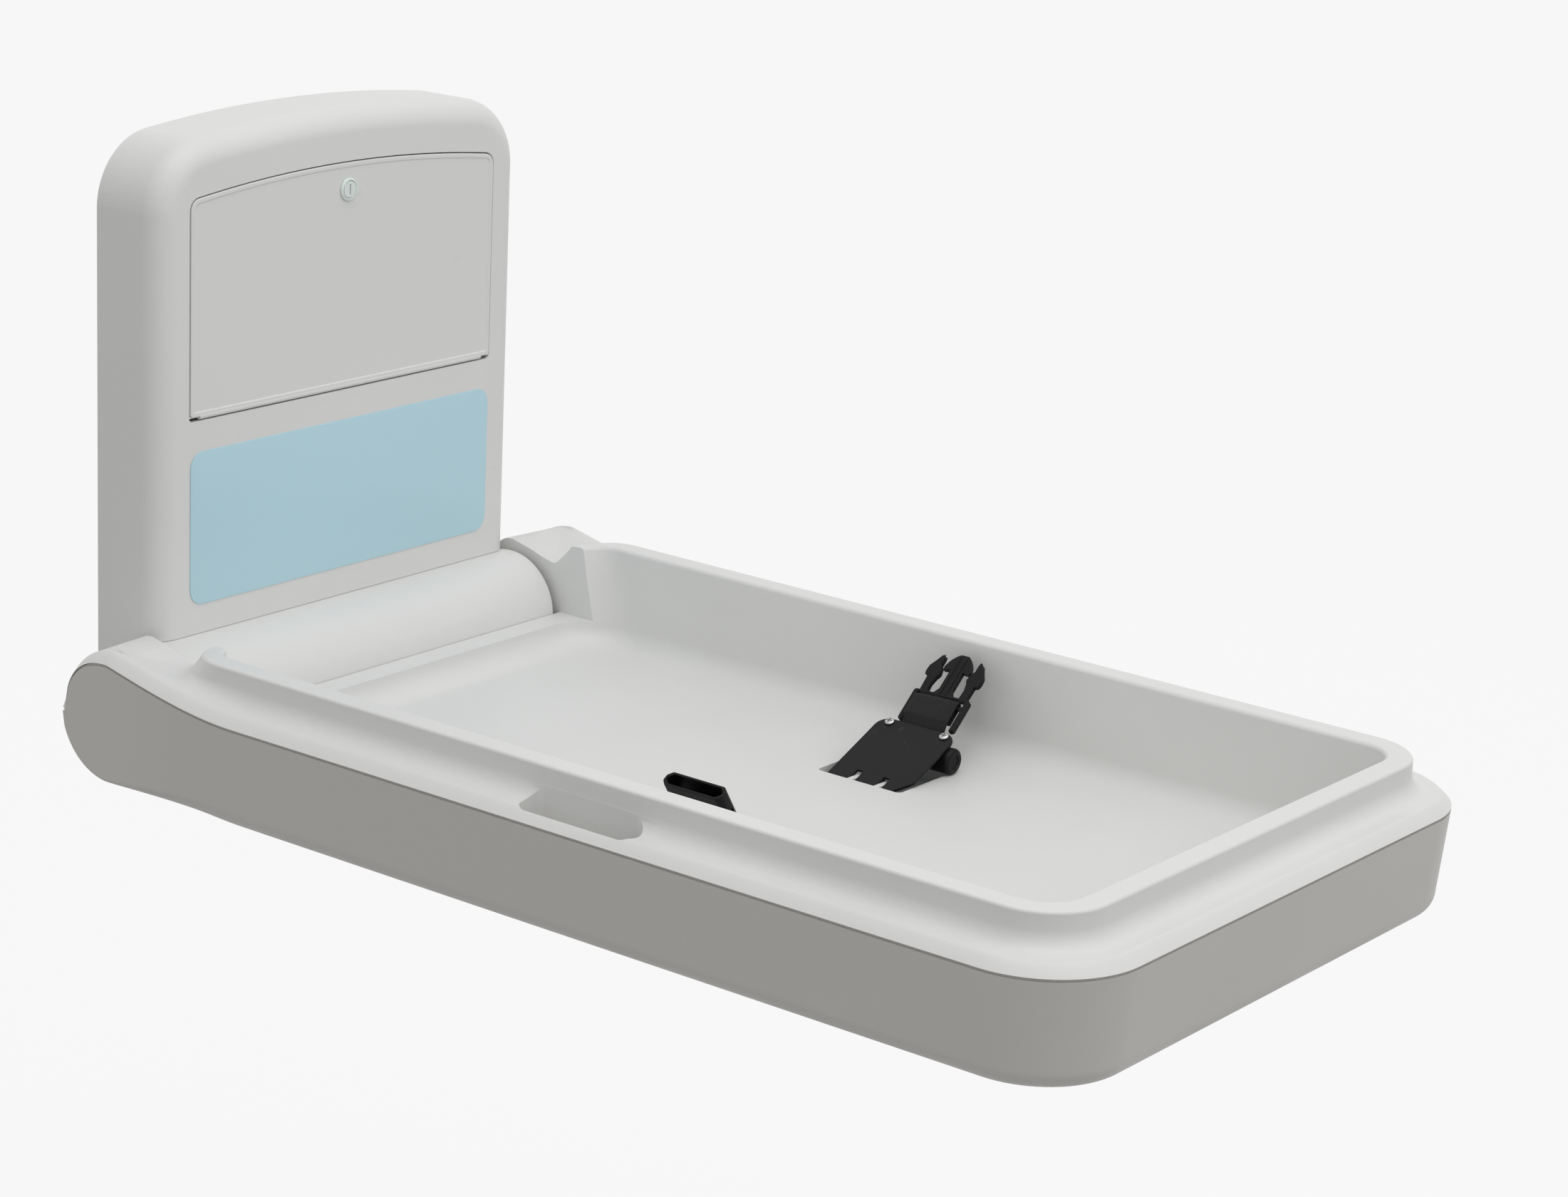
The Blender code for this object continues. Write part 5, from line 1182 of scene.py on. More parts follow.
    def notch(self, grow: float) -> Points:
        """The side view of what the barrel and the sill take, as (out, height)."""
        hug = self.hinge.radius + 2 * GAP + grow
        sill = -self.sill_below - grow
        low = -self.inner_depth - 2 * OVERRUN
        top = self.form.rim_top + OVERRUN
        front = self.sill_out + self.tub_back_r + grow
        start = math.asin((sill + self.hinge.below) / hug)
        centre = (self.hinge.out, -self.hinge.below)
        curve = arc(centre, hug, start, -self.barrel_wall_turn, steps=16)
        outline = [(-OVERRUN, top), (front, top), (front, sill)]
        return np.array(outline + curve.tolist() + [(curve[-1][0], low), (-OVERRUN, low)])

    def build(self) -> None:
        """Makes the moulding, cut for the barrel, the finger recess and the strap pockets."""
        form = self.form
        tray = loft("tray_moulding", self.rings(0.0))
        inside = loft("tray_inside", self.rings(WALL))
        cheek = form.cheek_x + WALL
        cut(tray, prism("notch", self.notch(0.0), -form.cheek_x, form.cheek_x))
        cut(inside, prism("notch_backing", self.notch(WALL), -cheek, cheek))
        cut(tray, inside)
        radius = form.bulb_r - WALL - 2 * GAP
        low = -self.inner_depth - OVERRUN
        rise = form.seam_end_below - form.groove - form.bulb_below
        start = 2 * QUARTER + math.asin(rise / radius)
        centre = (form.bulb_out, -form.bulb_below)
        trim = arc(centre, radius, start, 3 * QUARTER, steps=12).tolist()
        trim += [(form.bulb_out, low), (-OVERRUN, low), (-OVERRUN, trim[0][1])]
        reach = form.half + OVERRUN
        cut(tray, prism("bulb_trim", trim, -reach, reach))
        soften(tray, self.on_cheeks, self.cheek_soft, steps=4)
        self.cut_recess(tray)
        self.cut_pockets(tray)
        soften(tray, self.on_pockets, self.pocket_soft, steps=2)
        close_holes(tray)
        self.dress(tray, Body.TRAY, "shell_plastic", "upper_moulding", crease=32)

    def on_cheeks(self, points: Points) -> np.ndarray:
        """Which points lie on a cheek's top edge."""
        beside = np.abs(np.abs(points[:, 0]) - self.form.cheek_x) < WELD
        return beside & (points[:, 2] + SEAM_BELOW_ORIGIN > self.cheek_soft_low)

    def cut_recess(self, tray: Made) -> None:
        """Adds the finger recess of the -X side."""
        outer = -(self.form.half - self.recess_outer)
        inner = -(self.form.half - self.recess_inner)
        low = (outer - WALL / 2, self.recess_start - WALL, -self.recess_below - WALL)
        high = (inner + WALL, self.recess_end + WALL, self.form.rim_top)
        body = box("recess_body", low, high)
        join(tray, boolean(body, loft("under_surface", self.rings(WALL / 4)), "INTERSECT"))
        start, stop = (outer, self.recess_start), (inner, self.recess_end)
        outline = round_rectangle(start, stop, self.recess_r, steps=10)
        cut(tray, prism("recess", outline, -self.recess_below, self.form.rim_top, Along.Z))

    def cut_pockets(self, tray: Made) -> None:
        """Adds the two strap pockets, and the lugs of the far strap's pin."""
        strap = self.strap
        floor = -strap.floor_below
        half = self.pocket_wide / 2
        near, far = self.pocket_out - half, self.pocket_out + half
        bottom = floor - self.pocket_deep
        for side in (-1, 1):
            x0, x1 = sorted((side * self.pocket_x, side * (self.pocket_x + self.pocket_long)))
            low = (x0 - WALL, near - WALL, bottom - WALL)
            join(tray, box("pocket_body", low, (x1 + WALL, far + WALL, floor - WALL / 2)))
            outline = round_rectangle((x0, near), (x1, far), self.pocket_r, steps=6)
            cut(tray, prism("pocket", outline, bottom, floor + WALL, Along.Z))
        half = strap.knuckle_long / 2 + GAP
        top = floor - GAP
        for out in (strap.out - half - strap.lug_long, strap.out + half):
            low = (self.pocket_x - WALL / 2, out, top - 2 * strap.knuckle_r)
            join(tray, box("pin_lug", low, (strap.x + strap.knuckle_r, out + strap.lug_long, top)))

    def on_pockets(self, points: Points) -> np.ndarray:
        """Which points lie on the pockets' upper edges."""
        floor = np.abs(points[:, 2] + SEAM_BELOW_ORIGIN + self.strap.floor_below) < WELD
        x = np.abs(points[:, 0]) - self.pocket_x
        out = np.abs(-points[:, 1] - self.pocket_out) < self.pocket_wide / 2 + GAP
        return floor & (x > -GAP) & (x < self.pocket_long + GAP) & out


@dataclass
class TrayShell(Assembly):
    """The tray's lower shell: a drafted pan whose arms end in bulbs."""

    form: TrayForm = TrayForm()
    hinge: HingeForm = HingeForm()
    bottom_below: float = 0.0731
    draft: float = 0.0050
    edge_r: float = 0.014
    edge_steps: int = 10
    top_r: float = 0.0011
    square_start: float = 0.070
    square_end: float = 0.170
    square_side: float = 0.85
    square_rise: float = 0.8
    tongue_inset: float = 0.0016
    tongue_rise: float = 0.0005
    screw_outs: tuple[float, ...] = (0.180, 0.480, 0.800)
    screw_inset: float = 0.040
    recess_r: float = 0.0075
    recess_deep: float = 0.0008

    def bottom(self, out: np.ndarray, skin: float = 0.0) -> np.ndarray:
        """The underside's height, flat on the long run and round under the bulbs."""
        form = self.form
        share = smooth_step(form.far_share(out))
        run = mix(-form.bulb_below - form.bulb_r, -self.bottom_below, share)
        radius = form.bulb_r - skin
        back = np.clip((form.bulb_out - out) / radius, 0, 1)
        round_end = -form.bulb_below - radius * np.sqrt(1 - back * back) - skin
        return np.where(out >= form.bulb_out, run, round_end)

    def ring(
        self, skin: float, inset: float, back: float, corner: float, rise: float, share: float
    ) -> Points:
        """One ring in space; round the bulbs its sides and its edge are drawn out square.

        Args:
            skin: how far inside the outer face it lies.
            inset: how far it lies inside the tray's outline.
            back: its distance from the wall.
            corner: the radius of its corners on the wall side.
            rise: its height over the underside, left out along the bulb's back.
            share: how far up it lies from there to the seam.

        Returns:
            The ring's points.
        """
        form = self.form
        x, out = form.plan(inset, back, corner).T
        near = 1 - smooth_step((out - self.square_start) / (self.square_end - self.square_start))
        beside = np.clip((inset + corner - form.half + np.abs(x)) / corner, 0, 1)
        beside = np.where(out > form.bulb_out, 1, beside) * (1 - self.square_rise * near)
        low = self.bottom(out, skin) + skin + rise * beside
        height = mix(low, np.maximum(form.seam(out), low + GAP), share)
        wide = form.half - inset + (inset - skin) * self.square_side * near
        return at(x * wide / (form.half - inset), out, height)

    def rings(self, skin: float) -> Points:
        """Rings of a solid that stands up past the seam, each outside the one below in plan.

        The bottom edge is a quarter circle and the side leans out by the draft.

        Args:
            skin: how far inside the outer face the solid ends.

        Returns:
            An array of rings.
        """
        form = self.form
        made = []
        radius = self.edge_r - skin
        seam_turn = math.asin((form.seam_end_below - form.bulb_below) / form.bulb_r)
        for angle in np.linspace(QUARTER, 0, self.edge_steps + 1):
            inset = self.draft + skin + radius * (1 - math.cos(angle))
            rise = radius * (1 - math.sin(angle))
            turn = mix(seam_turn, QUARTER, angle / QUARTER)
            back = form.bulb_out - (form.bulb_r - skin) * math.cos(turn)
            corner = mix(form.lip_wide / 2, form.lip_wide, angle / QUARTER)
            made.append(self.ring(skin, inset, back, corner, rise, 0.0))
        back = form.bulb_out - form.bulb_r + skin - GAP
        corner = form.lip_wide / 2
        for share in shares(4, 1):
            inset = self.draft * (1 - share) + skin
            made.append(self.ring(skin, inset, back + GAP * (1 - share), corner, radius, share))
        top = form.rim_top + (OVERRUN if skin else 0)
        return np.array(made + [form.ring(skin, back, corner, level(top))])

    def above(self, down: float) -> Points:
        """The side view of everything over a line that lies below the seam, as (out, height)."""
        form = self.form
        first = form.bulb_out - form.bulb_r - GAP + form.lip_wide / 2
        outs = np.concatenate([[first], form.stations(first, form.reach - form.corner_r)])
        line = np.stack([outs, form.seam(outs) - down], axis=1).tolist()
        top, end = form.rim_top + 2 * OVERRUN, form.reach + OVERRUN
        start = [(-OVERRUN, line[0][1])]
        return np.array(start + line + [(end, -down), (end, top), (-OVERRUN, top)])

    def on_edge(self, points: Points) -> np.ndarray:
        """Which points lie on the outer top edge, just under the seam."""
        form = self.form
        x, out = np.abs(points[:, 0]), -points[:, 1]
        seam = form.seam(out) - form.groove / 2 - SEAM_BELOW_ORIGIN
        past_x = np.maximum(x - (form.half - form.corner_r), 0)
        past_out = np.maximum(out - (form.reach - form.corner_r), 0)
        outside = np.hypot(past_x, past_out) > form.corner_r - WALL / 6
        return (np.abs(points[:, 2] - seam) < WALL / 10) & outside

    def build(self) -> None:
        """Makes the shell, cut out round the barrel and for its screws."""
        form = self.form
        reach = form.half + OVERRUN
        shell = loft("tray_shell", self.rings(0.0))
        cut(shell, prism("seam_line", self.above(form.groove / 2), -reach, reach))
        soften(shell, self.on_edge, self.top_r, steps=3)
        tongue = loft("tongue", self.rings(self.tongue_inset))
        cut(tongue, prism("tongue_line", self.above(-self.tongue_rise), -reach, reach))
        join(shell, tongue)
        cut(shell, loft("shell_inside", self.rings(WALL)))
        half = form.cheek_x + WALL + GAP
        hug = self.hinge.radius + WALL + 3 * GAP
        low = -self.bottom_below - OVERRUN
        centre = (self.hinge.out, -self.hinge.below)
        outline = arc(centre, hug, QUARTER, -QUARTER / 2, steps=24).tolist()
        outline += [(outline[-1][0], low), (-OVERRUN, low), (-OVERRUN, outline[0][1])]
        cut(shell, prism("barrel_room", outline, -half, half))
        profile = [(self.recess_r, -OVERRUN), (self.recess_r, self.recess_deep)]
        for side in (-1, 1):
            for out in self.screw_outs:
                centre = at(side * (form.half - self.screw_inset), out, self.bottom(out))
                cut(shell, turned("screw_recess", profile, centre, (0, 0, 1)))
        # the lower shell wears a darkened copy of its slot's shell plastic, a painted shade
        look = "shaded_lower_plastic"
        self.dress(shell, Body.TRAY, "shell_plastic", "lower_shell", look=look, crease=32)


# The unit on the wall


@dataclass(frozen=True)
class HousingForm:
    """The sizes that the housing shares with its door and label."""

    half: float = 0.186
    deep: float = 0.0616
    top: float = 0.379
    arch_r: float = 1.2
    door_half: float = 0.1554
    door_bottom: float = 0.1735
    door_top: float = 0.340
    door_corner_r: float = 0.009
    door_raise: float = 0.0006
    door_sunk: float = 0.0007
    door_gap: float = 0.0008
    lock_height: float = 0.3206
    arch_steps: int = 24

    def arched(
        self, half: float, foot: float, foot_r: float, corner: float, arch: float, steps: Pair
    ) -> Points:
        """An outline with straight sides and round corners under an arch of the housing's centre.

        Args:
            half: half its width.
            foot: the height of its lower edge.
            foot_r: the lower corners' radius.
            corner: the upper corners' radius.
            arch: the arch's radius.
            steps: how finely a lower and an upper corner are divided.

        Returns:
            Rows of (x, height), counter-clockwise.
        """
        centre = self.top - self.arch_r
        reach = arch - corner
        lean = math.asin((half - corner) / reach)
        high = centre + reach * math.cos(lean)
        right = np.concatenate(
            [
                arc((half - foot_r, foot + foot_r), foot_r, -QUARTER, 0, steps[0]),
                arc((half - corner, high), corner, 0, QUARTER - lean, steps[1]),
                arc((0, centre), arch, QUARTER - lean, QUARTER, self.arch_steps)[1:],
            ]
        )
        return np.concatenate([right, flipped(right[:-1], (-1, 1))])

    def door(self, inset: float, foot: float, foot_r: float, corner: float) -> Points:
        """The door's outline, drawn in by an inset; a negative one gives the doorway."""
        arch = self.arch_r - (self.top - self.door_top + inset)
        return self.arched(self.door_half - inset, foot, foot_r, corner, arch, (8, 10))


@dataclass
class WallHousing(Assembly):
    """The arched shell on the wall, open behind, with the doorway for the liners."""

    form: HousingForm = HousingForm()
    hinge: HingeForm = HingeForm()
    shoulder_r: float = 0.052
    edge_r: float = 0.018
    edge_steps: int = 14
    foot_r: float = 0.006
    bottom: float = -0.070
    doorway_foot_r: float = 0.003
    doorway_soft: float = 0.0006
    bite_sides: int = 192

    def ring(self, depth: float, inset: float) -> Points:
        """The front outline, drawn in by an inset, at a distance from the wall."""
        form = self.form
        foot_r = max(self.foot_r - inset, GAP)
        foot, arch = self.bottom + inset, form.arch_r - inset
        corner = self.shoulder_r - inset
        x, height = form.arched(form.half - inset, foot, foot_r, corner, arch, (3, 28)).T
        return at(x, depth, height)

    def rings(self, skin: float) -> list[Points]:
        """Rings from the wall out, with the front edge's quarter circle."""
        form = self.form
        radius = self.edge_r - skin
        start = GAP - (OVERRUN if skin else 0)
        made = [self.ring(start, skin), self.ring(form.deep / 2, skin)]
        for angle in QUARTER * shares(self.edge_steps):
            depth = form.deep - self.edge_r + radius * math.sin(angle)
            made.append(self.ring(depth, skin + radius * (1 - math.cos(angle))))
        return made

    def on_doorway(self, points: Points) -> np.ndarray:
        """Which points lie on the doorway's front edge."""
        form = self.form
        margin = 2 * form.door_gap
        height = points[:, 2] + SEAM_BELOW_ORIGIN
        inside = np.abs(points[:, 0]) < form.door_half + margin
        inside &= (height > form.door_bottom - margin) & (height < form.door_top + margin)
        return inside & (np.abs(points[:, 1] + form.deep) < WELD)

    def build(self) -> None:
        """Makes the housing, hollow, cut for the barrel and the doorway."""
        form = self.form
        shell = loft("wall_housing", self.rings(0.0))
        cut(shell, loft("housing_space", self.rings(WALL)))
        bite, reach = self.hinge.radius + GAP, form.half + OVERRUN
        centre = at(0, self.hinge.out, -self.hinge.below)
        cut(shell, rod("bite", bite, reach, centre, (1, 0, 0), self.bite_sides))
        gap, front = form.door_gap, form.deep + OVERRUN
        low = form.door_bottom - gap
        doorway = form.door(-gap, low, self.doorway_foot_r, form.door_corner_r)
        cut(shell, prism("doorway", doorway, form.deep - 2 * WALL, front, Along.Y))
        soften(shell, self.on_doorway, self.doorway_soft, steps=2)
        self.dress(shell, Body.WALL, "shell_plastic", "housing_shell")


@dataclass
class HingeBarrel(Assembly):
    """The fixed round cover over the hinge, open behind."""

    hinge: HingeForm = HingeForm()
    half: float = 0.1855
    edge_r: float = 0.004
    bore: float = 0.0086
    slot_half: float = 0.024
    sides: int = 192

    def build(self) -> None:
        """Makes the barrel with its slot behind."""
        out, below, radius = self.hinge.out, self.hinge.below, self.hinge.radius
        half, bore, inner = self.half, self.bore, radius - WALL
        edge = arc((radius - self.edge_r, half - self.edge_r), self.edge_r, QUARTER, 0, steps=8)
        outside = [(bore, half), *edge.tolist(), (radius, 0.0)]
        profile = outside + flipped(outside[:-1]).tolist()
        profile += [(bore, WALL - half), (inner, WALL - half), (inner, half - WALL)]
        profile += [(bore, half - WALL)]
        barrel = turned("barrel", profile, at(0, out, -below), (1, 0, 0), self.sides, hollow=True)
        low = (2 * WALL - half, 0.0, -below - self.slot_half)
        high = (half - 2 * WALL, out - self.slot_half, self.slot_half - below)
        cut(barrel, box("barrel_slot", low, high))
        self.dress(barrel, Body.WALL, "shell_plastic", "hinge_barrel", weighted=False)


@dataclass
class LinerDoor(Assembly):
    """The liner door: a raised round rim, a sunk face and a hinge bead at its foot."""

    form: HousingForm = HousingForm()
    thick: float = 0.003
    edge_r: float = 0.0007
    edge_steps: int = 4
    rim_wide: float = 0.0026
    slope_wide: float = 0.0014
    slope_steps: int = 6
    bead_r: float = 0.0024
    pivot_r: float = 0.0008
    pivot_long: float = 0.0022
    lock_bore: float = 0.0069

    def ring(self, inset: float, depth: float) -> Points:
        """The door's outline, drawn in by an inset, at a distance from the wall."""
        form = self.form
        foot = form.door_bottom + self.bead_r + inset
        foot_r = max(self.bead_r - inset / 2, GAP)
        x, height = form.door(inset, foot, foot_r, form.door_corner_r - inset).T
        return at(x, depth, height)

    def build(self) -> None:
        """Makes the door's panel."""
        form = self.form
        face = form.deep + form.door_raise
        rings = [self.ring(0.0, face - self.thick), self.ring(0.0, face - self.edge_r)]
        for angle in QUARTER * shares(self.edge_steps, 1):
            drop = self.edge_r * (1 - math.sin(angle))
            rings.append(self.ring(self.edge_r * (1 - math.cos(angle)), face - drop))
        for share in shares(self.slope_steps):
            depth = face - form.door_sunk * smooth_step(share)
            rings.append(self.ring(self.rim_wide + self.slope_wide * share, depth))
        panel = loft("door", rings)
        span = form.door_half - form.door_corner_r
        tip = form.door_half + self.pivot_long
        shape = both_sides([(self.pivot_r, -tip), (self.pivot_r, -span), (self.bead_r, -span)])
        centre = at(0, form.deep - WALL / 2, form.door_bottom + self.bead_r)
        join(panel, turned("door_bead", shape, centre, (1, 0, 0), sides=32))
        bore = [(self.lock_bore, -OVERRUN), (self.lock_bore, 2 * WALL)]
        cut(panel, turned("lock_hole", bore, at(0, face, form.lock_height), (0, 1, 0)))
        self.dress(panel, Body.DOOR, "door_plastic", "door_panel")


@dataclass
class DoorLock(Assembly):
    """The lock's round bezel with a fine raised arc beside it, and its turning plug."""

    form: HousingForm = HousingForm()
    outer_r: float = 0.0085
    plug_r: float = 0.0062
    proud: float = 0.0014
    crown_share: float = 0.8
    crown_r: float = 0.0006
    crown_flat: float = 0.5
    rim_r: float = 0.0010
    rim_below: float = 0.0004
    slot_wide: float = 0.0013
    slot_long: float = 0.0082
    slot_deep: float = 0.0016
    slot_round: float = 0.95
    plug_long: float = 0.016
    plug_soft: float = 0.0004
    arc_r: float = 0.0134
    arc_wide: float = 0.0005
    arc_rise: float = 0.00025
    arc_start: float = -1.45
    arc_stop: float = -0.05
    arc_steps: int = 39
    sides: int = 72

    def place(self, x: np.ndarray, height: np.ndarray, off: np.ndarray) -> Points:
        """World points from the lock's centre on the door's rim."""
        form = self.form
        return at(x, form.deep + form.door_raise + off, height + form.lock_height)

    def bezel(self) -> None:
        """Makes the bezel, whose inner edge is a flat crown and whose outer edge is round."""
        inner, top = self.plug_r + GAP, self.proud * self.crown_share
        crown = arc((0.0, 0.0), self.crown_r, 2 * QUARTER, QUARTER, steps=5)
        crown = crown * (1.0, self.crown_flat)
        profile = [(inner, -self.form.door_sunk), (inner, top)]
        profile += (crown + (inner + self.crown_r, top)).tolist()
        profile += arc((self.outer_r - self.rim_r, 0.0), self.rim_r, QUARTER, 0, steps=6).tolist()
        profile += [(self.outer_r, -self.rim_below)]
        ring = spun("lock_ring", profile, self.place, self.sides, hollow=True)
        self.dress(ring, Body.DOOR, "lock_plastic", "lock_bezel", weighted=False)

    def mark(self) -> None:
        """Makes the arc beside the bezel."""
        turns = (self.arc_start, self.arc_stop, self.arc_steps)
        outer = arc((0.0, 0.0), self.arc_r + self.arc_wide, *turns)
        inner = arc((0.0, 0.0), self.arc_r - self.arc_wide, *turns)
        outline = np.concatenate([outer, inner[::-1]])
        high = self.arc_rise - self.form.door_sunk
        made = slab("lock_arc", outline, self.place, -self.proud, high, self.arc_rise / 2)
        self.dress(made, Body.DOOR, "door_plastic", weighted=False)

    def plug(self) -> None:
        """Makes the plug with its key slot."""
        soft, radius, proud = self.plug_soft, self.plug_r, self.proud
        middle = soft * ROUND_MIDDLE
        profile = [(radius, -self.plug_long), (radius, proud - soft)]
        profile += [(radius - middle, proud - middle), (radius - soft, proud)]
        core = spun("lock_core", profile, self.place, self.sides)
        half, tall = self.slot_wide / 2, self.slot_long / 2
        slot = round_rectangle((-half, -tall), (half, tall), half * self.slot_round, steps=6)
        cut(core, slab("key_slot", slot, self.place, proud - self.slot_deep, 2 * proud))
        self.dress(core, Body.LOCK, "lock_plastic", "lock_plug")

    def build(self) -> None:
        """Makes the bezel, the arc and the plug."""
        self.bezel()
        self.mark()
        self.plug()


@dataclass
class LabelPanel(Assembly):
    """The plain pale blue plate on the housing, as wide as the door."""

    form: HousingForm = HousingForm()
    low: float = 0.0385
    high: float = 0.1505
    corner_r: float = 0.012
    thick: float = 0.0006
    soft: float = 0.00025

    def place(self, x: np.ndarray, height: np.ndarray, off: np.ndarray) -> Points:
        """World points just off the housing's front."""
        return at(x, self.form.deep + GAP / 3 + off, height)

    def build(self) -> None:
        """Makes the plate."""
        half = self.form.door_half
        outline = round_rectangle((-half, self.low), (half, self.high), self.corner_r, steps=16)
        plate = slab("label", outline, self.place, 0.0, self.thick, self.soft)
        self.dress(plate, Body.WALL, "label_film", "label_plate", weighted=False)


# The straps


@dataclass
class Strap(Assembly):
    """Webbing swept along a path in a plane, with a map for its weave.

    Attributes:
        wide: the strap's width.
        thick: its thickness.
        shift: how far its middle lies from the plane that it is placed in.
        rings: how many sections it has.
        sides: how many points go round a section.
        square_across: the power that squares a section off across; less is squarer.
        square_off: the same for its thickness.
    """

    wide: float = 0.0385
    thick: float = 0.0014
    shift: float = 0.0
    rings: int = 90
    sides: int = 44
    square_across: float = 0.35
    square_off: float = 0.5

    def smooth(self, path: Points) -> Points:
        """The path resampled evenly, then eased twice by a third of its neighbours' mean."""
        path = np.asarray(path, float)
        steps = run_length(path)
        even = np.linspace(0, steps[-1], self.rings)
        made = np.stack([np.interp(even, steps, path[:, i]) for i in range(2)], axis=1)
        for _ in range(2):
            made[1:-1] += ((made[:-2] + made[2:]) / 2 - made[1:-1]) / 3
        return made

    def build(self, name: str, path: Points, place: Place, body: Body, stands_for: str) -> None:
        """Makes the strap.

        Each ring is a flat oval: half the width times cos and half the thickness times sin,
        each to the power that squares it off.

        Args:
            name: the piece's name.
            path: rows of (along, off) in the strap's plane.
            place: puts (along, across, off) into the world.
            body: the body that it rides on.
            stands_for: the CAD node that it replaces.
        """
        path = self.smooth(path)
        way = unit(np.gradient(path, axis=0))
        side = np.stack([-way[:, 1], way[:, 0]], axis=1)
        turn = np.linspace(0, 2 * math.pi, self.sides, endpoint=False)
        cos, sin = np.cos(turn), np.sin(turn)
        across = self.wide / 2 * np.sign(cos) * np.abs(cos) ** self.square_across + self.shift
        off = self.thick / 2 * np.sign(sin) * np.abs(sin) ** self.square_off
        along = path[:, None, :] + side[:, None, :] * off[None, :, None]
        spread = np.broadcast_to(across, along.shape[:2])
        made = loft(name, place(along[..., 0], spread, along[..., 1]))
        length = np.repeat(run_length(path), self.sides)
        weave = np.stack([spread.ravel() / self.wide + 0.5, length])
        corners = read(made.data.loops, "vertex_index", 1, np.int32).ravel()
        layer = made.data.uv_layers.new(name="weave")
        layer.data.foreach_set("uv", weave.T[corners].ravel().astype(np.float32))
        self.dress(made, body, "black_webbing", stands_for, crease=60, weighted=False)


@dataclass
class FarStrap(Assembly):
    """The far strap: its plate, screws, reel, webbing and the male half of the buckle."""

    strap: StrapHinge = StrapHinge()
    tilt: float = math.radians(23.6)
    long: float = 0.0605
    wide: float = 0.066
    edge: float = 0.0026
    thick: float = 0.0022
    plate_soft: float = 0.0004
    skirt: float = 0.0085
    cut_long: float = 0.0135
    cut_wide: float = 0.0100
    corner_r: float = 0.010
    knuckle_sink: float = 0.6
    reel_r: float = 0.0095
    reel_long: float = 0.062
    reel_along: float = 0.047
    reel_out: float = 0.494
    reel_rim_r: float = 0.55
    reel_hub_r: float = 0.5
    reel_hub_deep: float = 0.0008
    screw_r: float = 0.0036
    screw_rise: float = 0.0017
    screw_rim: float = 0.35
    screw_dome: float = 0.6
    screw_along: float = 0.0563
    screw_outs: tuple[float, float] = (0.4645, 0.512)
    cross_long: float = 0.62
    cross_wide: float = 0.13
    cross_floor: float = 0.3
    cross_round: float = 0.6
    buckle_tilt: float = math.radians(40)
    buckle_turn: float = math.radians(-1.2)
    buckle_x: float = 0.1475
    buckle_below: float = 0.0190
    buckle_out: float = 0.491
    buckle_half: float = 0.024
    buckle_long: float = 0.028
    buckle_thick: float = 0.0044
    buckle_corner_r: float = 0.0022
    buckle_soft: float = 0.0006
    side_wide: float = 0.0034
    slot_top: float = 0.0262
    bar_along: float = 0.0186
    bar_wide: float = 0.0035
    bar_thick: float = 0.0020
    prong_thick: float = 0.0038
    prong_soft: float = 0.0005
    rib_x: float = 0.0026
    rib_half: float = 0.0005
    rib_end: float = 0.0605
    rib_low: float = 0.0010
    rib_high: float = 0.0025
    rib_round: float = 0.8
    web_room: float = 0.040
    web_wide: float = 0.038
    web_thick: float = 0.0014
    web_shift: float = -0.0024
    web_up: tuple[Pair, ...] = ((-1, -0.5), (1, 0.25), (3, 0.9))
    web_down: Pair = (3, -1.2)

    def on_plate(self, along: np.ndarray, out: np.ndarray, off: np.ndarray) -> Points:
        """World points from along the plate's slope, out from the wall and off the plate."""
        c, s = math.cos(self.tilt), math.sin(self.tilt)
        height = along * s + off * c - self.strap.floor_below
        return at(self.strap.x + along * c - off * s, out, height)

    def on_buckle(self, along: np.ndarray, across: np.ndarray, off: np.ndarray) -> Points:
        """World points from along, across and off the buckle's middle plane."""
        ct, st = math.cos(self.buckle_turn), math.sin(self.buckle_turn)
        c, s = math.cos(self.buckle_tilt), math.sin(self.buckle_tilt)
        run = along * ct - across * st
        out = self.buckle_out + across * ct + along * st
        return at(self.buckle_x + run * c - off * s, out, run * s + off * c - self.buckle_below)

    def plate(self) -> None:
        """Makes the plate with its knuckle."""
        strap = self.strap
        out, foot, r = strap.out, -self.skirt, self.corner_r
        near, far = out - self.wide / 2, out + self.wide / 2
        tab = strap.knuckle_long / 2
        lug = tab + strap.lug_long + 2 * GAP
        outline = [(foot, near)]
        for start, stop in ((out - lug, out - tab), (out + tab, out + lug)):
            outline += [(foot, start), (self.edge, start), (self.edge, stop), (foot, stop)]
        outline += [(foot, far - self.cut_wide), (foot + self.cut_long, far)]
        outline += arc((self.long - r, far - r), r, QUARTER, 0, steps=12).tolist()
        outline += arc((self.long - r, near + r), r, 0, -QUARTER, steps=12).tolist()
        plate = slab("plate", outline[::-1], self.on_plate, 0.0, self.thick, self.plate_soft)
        height = -strap.floor_below - strap.knuckle_r * self.knuckle_sink
        centre, way = at(strap.x, out, height), (0, 1, 0)
        join(plate, rod("knuckle", strap.knuckle_r, tab, centre, way, sides=32))
        reach = tab + strap.lug_long
        cut(plate, rod("knuckle_bore", strap.pin_bore, reach, centre, way, sides=24))
        self.dress(plate, Body.FAR_STRAP, "black_plastic", "strap_plate")

    def screws(self) -> None:
        """Makes the two cross-head screws, domed, with a turned rim."""
        rise, r, rim = self.screw_rise, self.screw_r, self.screw_rim
        profile = [(r, 0.0), (r, rise * rim)]
        for angle in QUARTER * shares(8, 1)[:-1]:
            height = rise * mix(rim, 1, math.sin(angle))
            profile.append((r * math.cos(angle) ** self.screw_dome, height))
        long, wide = r * self.cross_long, r * self.cross_wide
        for number, out in enumerate(self.screw_outs, 1):

